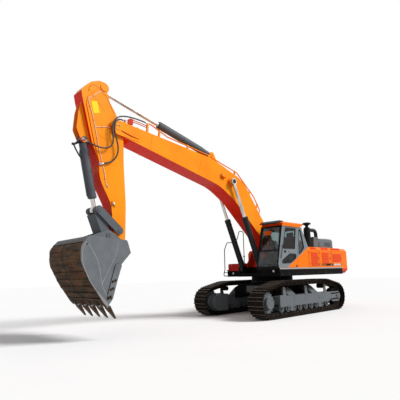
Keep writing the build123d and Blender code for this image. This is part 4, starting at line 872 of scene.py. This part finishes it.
def add_cylinder_details():
    for number, (base, eye, y, radius, end, side, body, finish) in enumerate(CYLINDERS):
        along = (eye[0] - base[0], 0, eye[1] - base[1])
        parts, bolts = Piece(), Piece()

        def at(distance, out=0.0):
            x, z = beyond(base, eye, distance, out)
            return (x, y, z)

        # Gland's ring, wiper and bands round the barrel
        gland = [(radius + 0.004, -0.002), (radius + 0.004, 0.018), (radius - 0.02, 0.024),
                 (radius - 0.03, 0.04), (radius - 0.045, 0.042), (radius - 0.045, -0.002)]
        band = [(radius - 0.004, 0), (radius + 0.006, 0.001), (radius + 0.006, 0.034),
                (radius - 0.004, 0.035)]
        parts.turned(at(end), along, gland, 32, True)
        for distance in (end - 0.2, end * 0.55, 0.3):
            parts.turned(at(distance), along, band, 32, True)
        bolts.bolt_ring(at(end + 0.019), along, radius - 0.01, 12, 0.009)
        # Oil pipe from the base to the head, in its two ports
        out, port = side * (radius + 0.026), side * radius * 0.9
        pipe = ((end - 0.05, port), (end - 0.05, out - side * 0.006), (end - 0.062, out), (end * 0.6, out),
                (0.36, out), (0.33, out - side * 0.004), (0.31, port))
        parts.tube([at(*place) for place in pipe], 0.014, 10)
        for distance in (end - 0.05, 0.31):
            parts.turned(at(distance, side * radius * 0.85), Vector(at(0, side)) - Vector(at(0)),
                         [(0.036, 0), (0.036, 0.028), (0.028, 0.034)], 6)
        parts.done(f"cylinder_parts_{number}", body, finish)
        bolts.done(f"cylinder_bolts_{number}", body, "bolt_steel")


def add_boom_details():
    beads, seams, fittings = Piece(), Piece(), Piece()
    tip = rounded([(6.3, 5.32, 0.04), (7.13, 5.4, 0.16), (7.27, 5.62, 0.16), (7.13, 5.83, 0.18),
                   (6.88, 5.8, 0.12), (6.42, 5.47, 0.06)], 8)
    eye = rounded([(2.26, 4.78, 0.12), (2.42, 4.46, 0.12), (2.78, 4.62, 0.14), (2.72, 4.94, 0.14)], 8)
    block = rounded([(6.58, 5.8, 0.01), (6.74, 5.78, 0.01), (6.74, 5.93, 0.02), (6.68, 5.975, 0.02),
                     (6.58, 5.975, 0.02)])
    for side in SIDES:
        axis = (0, side, 0)
        face = side * BOOM_SIDE
        # Weld seams across the side plates
        for seam in (((3.86, 5.4), (4.06, 4.83)), ((1.12, 4.02), (1.62, 3.58)),
                     ((5.9, 5.66), (5.98, 5.13)), ((2.02, 4.83), (2.5, 4.2))):
            beads.bead(face, seam, 0.006)
        # Doubler plates round the tip and the cylinder's eye
        beads.plate(tip, face, side, 0.007, 0.002)
        beads.plate(eye, face, side, 0.006, 0.002)
        # Rib below the tip's pin, a painted shadow of the doubler plate's edge in deep red, and the hoses'
        # block with two pipes behind it
        seams.bead(face + side * 0.01, ((6.98, 5.535), (6.888, 5.507), (6.636, 5.444), (6.38, 5.41)),
                   [0.008, 0.016, 0.016, 0.006])
        for pipe in (((6.08, 5.905), (6.6, 5.962)), ((6.08, 5.85), (6.6, 5.905))):
            seams.bead(side * 0.272, pipe, 0.013)
        seams.plate(block, face, side, 0, 0.057)
        # Bolts of the pipes' clamps
        for x, z in ((6.04, 5.965), (5.6, 5.84), (4.5, 5.615), (3.55, 5.48), (2.25, 5.12), (1.455, 4.5),
                     (1.055, 4.03)):
            fittings.turned((x, side * 0.299, z), axis, [(0.012, -0.002), (0.012, 0.008), (0.008, 0.01)], 6)
        # Grease fittings
        for x, z in ((2.52, 4.85), (7.07, 5.78)):
            fittings.turned((x, side * 0.29, z), axis, [(0.012, 0), (0.012, 0.02), (0.005, 0.024)], 8)
    beads.done("boom_plates", "boom", "boom_paint")
    seams.done("boom_pipes", "boom", "seam_paint")
    for places in HOSES.values():
        fittings.collar(places[0], places[1])
    fittings.done("boom_fittings", "boom", "fitting_steel")
    lamp = Piece()
    lamp.turned((2.99, 0.343, 4.912), (0.88, 0, 0.2),
                [(0.036, 0), (0.036, 0.012), (0.03, 0.02), (0.012, 0.024)], 24)
    lamp.done("boom_lamp_lens", "boom", "lamp_lens")


def add_arm_details():
    lines, plate, fittings, brackets, seams = Piece(), Piece(), Piece(), Piece(), Piece()
    long_line = ((7.545, 6.56), (7.62, 6.5), (7.93, 6.235), (7.935, 6.17), (7.82, 5.84), (7.735, 5.52),
                 (7.6, 4.9), (7.42, 4.25), (7.37, 3.95), (7.33, 3.9), (7.3, 3.9))
    border = ((7.945, 6.42), (7.925, 6.53), (7.87, 6.62), (7.77, 6.665), (7.69, 6.645), (7.6, 6.585),
              (7.41, 6.44), (7.31, 6.27), (7.16, 6.0))
    bracket = rounded([(7.1, 3.36, 0.01), (7.2, 3.5, 0.01), (7.16, 3.53, 0.01), (7.06, 3.39, 0.01)], 3)
    bare = rounded([(7.85, 6.17, 0.01), (7.68, 6.225, 0.01), (7.6, 5.905, 0.01), (7.77, 5.85, 0.01)], 3)
    for side in SIDES:
        axis = (0, side, 0)
        face = side * ARM_SIDE
        # Grease lines, held by small clips
        for line in (long_line, ((7.735, 5.49), (7.7, 5.485), (7.36, 5.56), (7.3, 5.56))):
            lines.bead(face + side * 0.01, line, 0.009)
        for x, z in ((7.8, 6.346), (7.88, 6.02), (7.77, 5.66), (7.66, 5.17), (7.5, 4.54), (7.4, 4.1),
                     (7.52, 5.525)):
            brackets.plate(around(x, z, 0.018, 0.014, 0.004, 2), face, side, 0.021, 0.002)
        # Raised border along the head and the back, in a deep red of painted shade
        seams.bead(face - side * 0.005, border, 0.009)
        # Weld seams
        for seam in (((7.72, 5.33), (7.33, 5.17)), ((7.03, 3.36), (6.76, 3.4)), ((7.93, 6.52), (7.45, 5.99))):
            brackets.bead(face, seam, 0.005)
        # Bracket and grease fitting at the lower end
        brackets.plate(bracket, face, side, 0.03, 0.002)
        fittings.turned((7.15, face + side * 0.02, 3.44), axis,
                        [(0.036, 0), (0.036, 0.02), (0.026, 0.03), (0.026, 0.045), (0.014, 0.052)], 12)
        fittings.turned((7.32, face + side * 0.004, 3.9), axis, [(0.022, 0), (0.022, 0.02), (0.012, 0.03)], 8)
        plate.plate(bare, face, side, 0.0035)
        # Doubler round the joint with the boom
        brackets.turned((ARM_PIN[0], face - side * 0.0012, ARM_PIN[1]), axis,
                        [(0.168, 0), (0.168, 0.005), (0.164, 0.0065), (0.1, 0.0065)], 40)
    for places in HOSES.values():
        fittings.collar(places[-1], places[-2])
    lines.done("grease_lines", "arm", "grease_pipe")
    plate.done("bare_plate", "arm", "plate_yellow")
    fittings.done("arm_fittings", "arm", "fitting_steel")
    brackets.done("arm_brackets", "arm", "arm_paint")
    seams.done("arm_border", "arm", "seam_paint")
    # Port and pipe in front of the bucket cylinder's base
    port = Piece()
    port.tube([(7.99, 0, 5.05), (8.08, 0, 5.03), (8.17, 0, 4.965), (8.24, 0, 4.95)],
              [0.05, 0.035, 0.03, 0.036], 12)
    port.tube([(8.2, 0, 4.95), (8.14, 0, 4.83), (8.04, 0, 4.68), (7.96, 0, 4.6)], 0.02, 10)
    port.done("bucket_cylinder_port", "bucket_cylinder_barrel", "dark_paint")


def add_bucket_details():
    plates, bolts, wear, welds, lip = Piece(), Piece(), Piece(), Piece(), Piece()
    # Wear plate along the back of each side
    outer = [(8.22, 2.33), (8.3, 2.2), (8.31, 2.05), (8.3, 1.86), (8.24, 1.7), (8.12, 1.45), (7.98, 1.25),
             (7.84, 1.08), (7.71, 0.945), (7.64, 0.85)]
    inner = [(7.62, 1.02), (7.72, 1.16), (7.79, 1.32), (7.83, 1.5), (7.86, 1.7), (7.93, 1.92), (8.05, 2.12),
             (8.12, 2.22), (8.16, 2.3)]
    for side in SIDES:
        face = side * BUCKET_SIDE
        plates.plate(outer + inner, face, side, 0.008)
        # Its weld, the side's crease and the bright edge along the back
        welds.bead(face + side * 0.006, inner, 0.006)
        welds.bead(face, ((7.75, 1.42), (7.86, 1.17)), 0.007)
        welds.bead(face, ((7.36, 2.36), (7.43, 2.02), (7.75, 1.42)), 0.004)
        welds.bead(face + side * 0.004, outer[::-1], 0.007)
        # Light plate over the lip's corner
        lip.plate([(7.93, 1.16), (7.87, 1.15), (7.61, 0.86), (7.64, 0.8), (7.73, 0.88)], face, side, 0.012, 0)
        # Bolts of the side cutters, in pairs
        for x, z in ((7.514, 1.39), (7.445, 1.415), (7.565, 1.2), (7.503, 1.225), (7.625, 1.01),
                     (7.57, 1.035)):
            bolts.bolt((x, side * 0.915, z), (0, side, 0), 0.024)
        bolts.bolt((8.2, face, 2.28), (0, side, 0), 0.018)
    plates.done("bucket_side_plates", "bucket", "bucket_steel")
    # Pins of the tooth points, in from the lip's edge
    x, z = beyond((7.7, 0.92), (7.62, 0.82), 0.228, -0.015)
    for y in (-0.77, -0.385, 0, 0.385, 0.77):
        for side in SIDES:
            wear.turned((x, y + side * 0.056, z), (0, side, 0),
                        [(0.016, 0), (0.016, 0.006), (0.01, 0.008)], 10)
    bolts.done("bucket_bolts", "bucket", "tooth_steel")
    welds.done("bucket_welds", "bucket", "weld_steel")
    lip.done("bucket_lip_plates", "bucket", "lip_paint")
    wear.done("tooth_pins", "bucket", "tooth_steel")


def add_house_details():
    black, bolts, light, strips = Piece(), Piece(), Piece(), Piece()
    # Louvred doors' latches, on the doors' free edges
    for body, x, side in (("left_door_front", -1.02, 1), ("left_door_middle", -1.9, 1),
                          ("left_door_rear", -2.8, 1), ("right_door", -2.77, -1)):
        latch = Piece()
        for z in (1.76, 1.99):
            latch.plate(around(x, z, 0.022, 0.04, 0.008, 3), side * DOOR_SIDE, side, 0.0065, 0)
            latch.turned((x, side * 1.5, z + 0.012), (0, side, 0),
                         [(0.013, 0), (0.013, 0.004), (0.009, 0.006)], 14)
        latch.done(body + "_latches", body, "black_plastic")
    # Hinge knuckles beside the doors
    for x, side in ((-0.424, 1), (-1.124, 1), (-2.014, 1), (-1.804, -1)):
        for z in (1.77, 2.17):
            black.turned((x, side * 1.493, z), (0, 0, 1), [(0.009, 0), (0.009, 0.06)], 10)
    # Lamps on the fronts of the two decks
    for x, y, z in ((1.5, 1.23, 1.545), (0.95, -1.15, 1.5)):
        black.turned((x, y, z), (1, 0, 0),
                     [(0.052, -0.002), (0.052, 0.02), (0.046, 0.026), (0.04, 0.02), (0.03, 0.018)], 24)
        light.turned((x + 0.012, y, z), (1, 0, 0),
                     [(0.041, 0), (0.041, 0.006), (0.03, 0.012), (0.01, 0.014)], 24)
    # Bolts and seams along the deck's edge, which starts further back on the right
    for x in (1.35, 0.95, 0.5, 0.0, -0.5, -1.0, -1.5, -2.0, -2.5):
        bolts.bolts((x,), (1.48, -1.48) if x < 0.9 else (1.48,), (1.43,), (0, 1, 0), 0.01)
    for side in SIDES:
        for x in (0.85, 0.0, -0.85, -1.7, -2.5):
            strips.plate(oblong((x - 0.006, 1.375), (x + 0.006, 1.597)), side * 1.479, side, 0.0045, 0)
    # Anti-slip strips on the walkways
    for y in (-0.75, -0.95, -1.15, -1.3):
        for low, high in ((-1.2, -0.98), (-0.66, -0.44), (-1.66, -1.62)):
            black.box((low, y - 0.03, WALKWAY - 0.0015), (high, y + 0.03, WALKWAY + 0.003), 0.01)
    # Engine hood: latches and handles in front, bolts, edge strips and perforated panels on its sides
    hood = Piece()
    for y in (-0.55, 0.8):
        hood.box((-1.701, y - 0.03, 2.5), (-1.688, y + 0.03, 2.62))
        hood.bead(y + 0.07, ((-1.7, 2.52), (-1.672, 2.53), (-1.672, 2.6), (-1.7, 2.61)), 0.006)
    edge = rounded([(-2.76, 2.44, 0.01), (-1.76, 2.44, 0.01), (-1.76, 2.45, 0.004), (-2.76, 2.45, 0.004)], 2)
    for side, y in HOOD_SIDES:
        hood.bolts((-2.7, -2.4, -2.1, -1.8), (y,), (2.47,), (0, side, 0), 0.011)
        hood.plate(edge, y, side, 0.004)
        for k in range(9):
            z = 2.51 + k * 0.018
            hood.plate(oblong((-2.62, z), (-2.12, z + 0.007)), y, side, 0.003)
    hood.done("hood_fittings", "engine_hood", "black_plastic")
    # Air cleaner: clamps, the cap's ribs, and bands on the pipe
    x, y = -0.8, 1.2
    for z in (2.552, 3.032):
        black.turned((x, y, z), (0, 0, 1), [(0.139, 0), (0.1425, 0.002), (0.1425, 0.014), (0.139, 0.016)], 40)
    for rib in zip(level_circle(x, y, 3.318, 0.163, 18), level_circle(x, y, 3.385, 0.12, 18)):
        black.tube(rib, 0.004, 6)
    for place, axis in (((-1.0, y, 3.11), (1, 0, 0)), ((-1.2, y, 3.11), (1, 0, 0)),
                        ((-1.43, y, 2.86), (0, 0, 1)), ((-1.43, y, 2.47), (0, 0, 1))):
        black.turned(place, axis, [(0.068, 0), (0.0735, 0.001), (0.0735, 0.024), (0.068, 0.025)], 32)
    # Bolts and seam of the box below the pipe
    for side in SIDES:
        bolts.bolts((-1.31, -1.02), (y + side * 0.151,), (2.47, 2.78), (0, side, 0), 0.01)
        black.plate(oblong((-1.34, 2.738), (-0.99, 2.744)), y + side * 0.149, side, 0.003, 0)
    # Toolbox's latches
    lid = Piece()
    for y in (-0.82, -1.24):
        lid.slab(around(y, 1.805, 0.02, 0.035, 0.005, 2), 0.949, 0.956, "front")
    lid.done("toolbox_latches", "toolbox_lid", "bolt_steel")
    # Clamps that hold the handrail to the deck and the tanks
    for x, z in ((-0.075, 1.9), (-0.075, 2.2), (0.95, 1.62)):
        black.box((x - 0.03, -1.4925, z - 0.02), (x + 0.03, -1.43, z + 0.02), 0.006)
    # Counterweight's reflectors and bolts
    tail = Piece()
    for y in (-1.05, 1.05):
        x = -(TAIL_RADIUS**2 - y**2) ** 0.5
        tail.turned((x + 0.001, y, 1.85), (x, y, 0), [(0.055, -0.002), (0.055, 0.008), (0.048, 0.012)], 28)
    for y in (-0.4, 0.4):
        x = -(TAIL_RADIUS**2 - y**2) ** 0.5
        bolts.bolts((x,), (y,), (1.75, 2.1), (x, y, 0), 0.02)
    tail.done("reflectors", "house", "reflector")
    # Bolts along the walkways
    bolts.bolts((-0.44, -0.82, -1.2, -1.34, -1.66), (-0.68, -1.35), (WALKWAY,), (0, 0, 1), 0.01)
    bolts.bolts((-0.4, -1.1, -1.99, -2.8), (0.68, 1.35), (WALKWAY,), (0, 0, 1), 0.01)
    black.done("house_trim", "house", "black_plastic")
    bolts.done("house_bolts", "house", "bolt_steel")
    light.done("deck_lamp_lenses", "house", "lamp_lens")
    strips.done("deck_seams", "house", "frame_paint")


# Slanted stripe over two doors, with nothing written in it: name, body, finish, heights, slant,
# and each bar's start and width
STRIPES = (
    ("left_door_middle_stripe", "left_door_middle", "stripe_black", 1.705, 1.79, 0.05,
     ((-1.2, 0.025), (-1.26, 0.035), (-1.33, 0.05), (-1.42, 0.06), (-1.52, 0.39))),
    ("left_door_rear_stripe", "left_door_rear", "stripe_black", 1.705, 1.79, 0.05, ((-2.0, 0.12),)),
    ("left_door_rear_pale_stripe", "left_door_rear", "stripe_grey", 1.712, 1.783, 0.04,
     ((-2.14, 0.24), (-2.41, 0.2), (-2.64, 0.1))),
)


def add_stripe():
    for name, body, finish, low, high, slant, bars in STRIPES:
        stripe = Piece()
        for x, width in bars:
            stripe.slab([(x - slant, high), (x - width - slant, high), (x - width, low), (x, low)],
                        DOOR_SIDE, DOOR_SIDE + 0.0028)
        stripe.done(name, body, finish)


# The cab's openings, as places of x and z with their corners' radii
DOOR_WINDOWS = (
    [(0.445, 3.04, 0.03), (1.06, 3.045, 0.06), (1.27, 2.32, 0.06), (0.56, 2.33, 0.04)],
    [(0.5, 2.12, 0.04), (0.88, 2.13, 0.06), (1.34, 1.89, 0.03), (1.32, 1.81, 0.03), (0.86, 1.83, 0.2),
     (0.52, 1.98, 0.06)],
)
REAR_QUARTER = [(0.13, 3.01, 0.03), (0.24, 3.02, 0.03), (0.3, 2.16, 0.02), (0.24, 2.15, 0.04),
                (-0.05, 2.37, 0.04)]
RIGHT_WINDOW = [(0.12, 3.01, 0.06), (1.14, 3.01, 0.06), (1.4, 1.96, 0.1), (-0.06, 1.96, 0.06),
                (-0.2, 2.42, 0.06)]


def on_screen(y, z, out):
    """A place on the cab's slanted front, out from it."""
    x = SCREEN_FOOT[0] - (z - SCREEN_FOOT[1]) * SCREEN_LEAN
    return (x + out * SCREEN_OUT.x, y, z + out * SCREEN_OUT.z)


def add_cab_details():
    gaskets = Piece()
    gaskets.rim(REAR_QUARTER, 1.493, 1.5005, 0.02)
    gaskets.rim(RIGHT_WINDOW, 0.5545, 0.562)
    # Rubbers round the windscreen's upper pane and between its panes
    low, high = 2.265, 3.08
    edges = [0.61 + 0.04 * (z - 1.7) / 1.4 for z in (low, high)]
    corners = [(edges[0], low + 0.012), (2 * CAB_MIDDLE - edges[0], low + 0.012),
               (2 * CAB_MIDDLE - edges[1], high), (edges[1], high)]
    loop = [on_screen(y, z, -0.002) for y, z in corners]
    gaskets.tube(loop + loop[:1], 0.012)
    gaskets.tube([on_screen(y, 2.25, 0.001) for y in (0.605, 1.0, 1.45)], 0.014)
    gaskets.done("cab_gaskets", "house", "black_plastic")

    trim = Piece()
    # Wiper: its motor's cover, arm and blade
    trim.turned(on_screen(1.28, 2.25, 0.0), SCREEN_OUT, [(0.035, 0), (0.035, 0.02), (0.02, 0.028)], 16)
    arm = ((1.28, 2.25, 0.024), (1.2, 2.45, 0.03), (1.06, 2.72, 0.022))
    blade = ((1.02, 2.38, 0.008), (1.04, 2.7, 0.01), (1.06, 2.98, 0.008))
    trim.tube([on_screen(*place) for place in arm], 0.006)
    trim.tube([on_screen(*place) for place in blade], 0.007, 6)
    # Rain gutter under the roof, and the grab rail in front of the door
    trim.bead(1.497, ((0.0, 3.1), (0.4, 3.106), (1.2, 3.106), (1.262, 3.06)), 0.006)
    trim.tube([(1.43, 1.5, 1.98), (1.425, 1.53, 2.0), (1.33, 1.53, 2.4), (1.325, 1.5, 2.42)], 0.011, 10)
    trim.done("cab_trim", "house", "black_plastic")

    # Door: rubbers, handle in its plate, lock and hinges
    door = Piece()
    for window in DOOR_WINDOWS:
        door.rim(window, 1.493, 1.5005)
    door.slab(oblong((1.085, 2.165), (1.215, 2.25), 0.02, 4), DOOR_SIDE, 1.4985)
    door.tube([(1.1, 1.497, 2.207), (1.115, 1.513, 2.207), (1.185, 1.513, 2.207), (1.2, 1.497, 2.207)], 0.008)
    door.turned((0.941, DOOR_SIDE, 2.211), (0, 1, 0), [(0.022, 0), (0.022, 0.006), (0.014, 0.009)])
    for z in (1.71, 3.02):
        door.slab(around(0.475, z, 0.045, 0.03, 0.01, 3), DOOR_SIDE, 1.5)
    door.done("cab_door_trim", "cab_door", "black_plastic")

    # Orange plate at the top of the screen
    plate = Piece()
    corners = oblong((0.76, 2.82), (1.07, 2.96))
    plate.skin([[on_screen(y, z, out) for y, z in corners] for out in (0.003, 0.012)])
    plate.done("screen_plate", "house", "amber")
    # Ribs along the visor and its front edge
    ribs = Piece()
    for k in range(5):
        x = 1.06 + k * 0.05
        ribs.tube([(x, 0.6, 3.306), (x, 1.395, 3.306)], 0.006, 6)
    ribs.tube([(1.352, 0.592, 3.222), (1.352, 1.403, 3.222)], 0.012)
    ribs.done("visor_ribs", "house", "visor_plastic")


def pad(name, place, size, material, tilt=0.0, seams=(), crown=0.03, corner=0.05):
    """A crowned cushion with its middle at place. Its size is length, width and thickness, and tilt turns
    it about the width's axis. Seams are sewn lines across it, as shares of the length from its middle."""
    side_pull, edge_drop = 0.05, 0.55
    seam_width, seam_depth = 0.012, 0.012
    channel_place, channel_depth = 0.68, 0.01
    mesh = bmesh.new()
    bmesh.ops.create_cube(mesh, size=2)
    bmesh.ops.subdivide_edges(mesh, edges=mesh.edges, cuts=19, use_grid_fill=True)
    turn = Matrix.Rotation(tilt, 3, "Y")
    half = [s / 2 for s in size]
    for vertex in mesh.verts:
        a, b, c = vertex.co
        # Sides pull in between the corners, and the face stands up in the middle
        across, along = 1 - side_pull * (1 - a * a), 1 - side_pull * (1 - b * b)
        x, y = a * half[0] * along, b * half[1] * across
        edge_x = max(abs(x) - half[0] + corner, 0) / corner
        edge_y = max(abs(y) - half[1] + corner, 0) / corner
        level = (half[2] - crown) * (1 - edge_drop * min(edge_x**2 + edge_y**2, 1))
        z = c * (level + crown * (1 - a * a) ** 0.6 * (1 - b * b) ** 0.6)
        if c > 0:
            for share in seams:
                z -= seam_depth * exp(-(((a - share) * half[0]) / seam_width) ** 2) * (1 - b**4)
            # Sewn channels beside the edges
            away = (abs(b) - channel_place) * half[1]
            z -= channel_depth * exp(-((away / seam_width) ** 2)) * (1 - a**4)
        vertex.co = Vector(place) + turn @ Vector((x, y, z))
    cushion = made_object(mesh, name, material)
    smooth = cushion.modifiers.new("smooth", "SUBSURF")
    smooth.levels = smooth.render_levels = 1
    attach(cushion, "house")
    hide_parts("cab_seat")


def add_cab_inside():
    """Seat, armrests, levers and monitor, where the seat's solid stands."""
    pad("seat_cushion", (0.5, CAB_MIDDLE, 1.985), (0.54, 0.52, 0.16), "seat_fabric", -0.06, (-0.35, 0.25))
    pad("seat_back", (0.195, CAB_MIDDLE, 2.44), (0.74, 0.48, 0.13), "seat_fabric", -pi / 2 - 0.17,
        (-0.3, 0.2))
    pad("head_rest", (0.128, CAB_MIDDLE, 2.86), (0.2, 0.3, 0.1), "seat_trim", -pi / 2 - 0.1)
    hard = Piece()
    # Bellows under the seat
    folds = [(0.21 + 0.02 * (k % 2), 1.66 + k * 0.02) for k in range(12)]
    hard.skin([[(x, y, z) for x, y in around(0.5, CAB_MIDDLE, half * 1.04, half, 0.05, 3)]
               for half, z in ((0.24, 1.646), *folds, (0.25, 1.9))])
    for side in SIDES:
        console = CAB_MIDDLE + side * 0.285
        hard.plate(rounded([(0.26, 1.65, 0.02), (0.82, 1.65, 0.06), (0.84, 2.13, 0.08), (0.5, 2.17, 0.05),
                            (0.28, 2.17, 0.05)]), console, side, 0.095, 0)
        # Lever with its bellows and grip
        y = CAB_MIDDLE + side * 0.332
        hard.turned((0.75, y, 2.13), (0.05, 0, 1), [(0.04, 0), (0.032, 0.015), (0.036, 0.025), (0.026, 0.04),
                                                    (0.03, 0.05), (0.014, 0.065), (0.013, 0.11)], 16)
        hard.tube([(0.755, y, 2.23), (0.757, y, 2.26), (0.762, y, 2.3), (0.768, y, 2.34), (0.774, y, 2.365),
                   (0.776, y, 2.375)], [0.016, 0.021, 0.024, 0.023, 0.026, 0.012], 14)
        # Travel lever and pedal
        y = CAB_MIDDLE + side * 0.09
        hard.tube([(1.2, y, 1.65), (1.22, y, 1.9), (1.19, y, 2.1)], 0.01)
        hard.tube([(1.194, y, 2.08), (1.188, y, 2.115), (1.18, y, 2.17)], [0.016, 0.021, 0.019], 12)
        hard.slab([(1.2, 1.7), (1.37, 1.78), (1.365, 1.795), (1.195, 1.716)], y - 0.05, y + 0.05)
    # Monitor on the right pillar
    hard.box((1.2, 0.63, 2.2), (1.225, 0.8, 2.33), 0.008)
    hard.tube([(1.215, 0.7, 2.2), (1.23, 0.66, 2.0), (1.24, 0.62, 1.9)], 0.014)
    # Floor mat and rear shelf
    hard.box((0.86, 0.62, 1.645), (1.49, 1.435, 1.657), 0.02)
    hard.box((-0.26, 0.62, 1.65), (0.02, 1.435, 2.1), 0.03)
    hard.done("cab_fittings", "house", "black_plastic")
    screen = Piece()
    screen.box((1.1975, 0.642, 2.212), (1.201, 0.788, 2.318))
    screen.done("monitor_glass", "house", "screen")
    belt = Piece()
    for name, side in (("arm_pad_left", 1), ("arm_pad_right", -1)):
        pad(name, (0.45, CAB_MIDDLE + side * 0.332, 2.2), (0.34, 0.085, 0.06), "seat_trim", crown=0.008,
            corner=0.02)
        belt.tube([(0.3, CAB_MIDDLE + side * 0.262, 1.95), (0.32, CAB_MIDDLE + side * 0.268, 2.05)], 0.012)
    belt.done("belt_stalks", "house", "seat_trim")


def seen_rays(tree):
    """One for the rays that show a surface or the sky, and zero for those that only gather its light."""
    path = tree.nodes.new("ShaderNodeLightPath")
    result = path.outputs["Is Camera Ray"]
    for name in ("Is Glossy Ray", "Is Transmission Ray"):
        joined = tree.nodes.new("ShaderNodeMath")
        joined.operation = "MAXIMUM"
        tree.links.new(result, joined.inputs[0])
        tree.links.new(path.outputs[name], joined.inputs[1])
        result = joined.outputs["Value"]
    return result


def add_stage():
    """A pale floor under a white sky. Both are dimmer as sources of light than they look."""
    reach = 60
    plane = bpy.data.meshes.new("floor")
    corners = [(*corner, 0) for corner in oblong((-reach, -reach), (reach, reach))]
    plane.from_pydata(corners, [], [(0, 1, 2, 3)])
    floor = bpy.data.objects.new("floor", plane)
    scene.collection.objects.link(floor)
    s = Shader("floor")
    seen = seen_rays(s.tree)
    pale = s.mix(s.patches(0.4), (0.93, 0.93, 0.93), (0.95, 0.95, 0.95))
    tone = s.mix(seen, (0.5, 0.48, 0.47), pale)
    plane.materials.append(s.finish(tone, 0.9, specular=0.0))

    world = bpy.data.worlds.new("sky")
    scene.world = world
    world.use_nodes = True
    tree = world.node_tree
    level = tree.nodes.new("ShaderNodeMapRange")
    level.inputs["To Min"].default_value = 0.4
    level.inputs["To Max"].default_value = 1.0
    tree.links.new(seen_rays(tree), level.inputs["Value"])
    sky = tree.nodes["Background"]
    sky.inputs["Color"].default_value = (1, 1, 1, 1)
    tree.links.new(level.outputs["Result"], sky.inputs["Strength"])

    sun = bpy.data.lights.new("key", "SUN")
    sun.energy = 3.1
    sun.angle = 0.35
    key = bpy.data.objects.new("key", sun)
    key.rotation_euler = Vector((-0.45, 0.62, 0.64)).to_track_quat("Z", "Y").to_euler()
    scene.collection.objects.link(key)
    scene.view_settings.view_transform = "Standard"


add_camera()
add_hoses()
dress_nodes()
add_tracks()
add_undercarriage()
add_pin_caps()
add_cylinder_details()
add_boom_details()
add_arm_details()
add_bucket_details()
add_house_details()
add_stripe()
add_cab_details()
add_cab_inside()
add_stage()
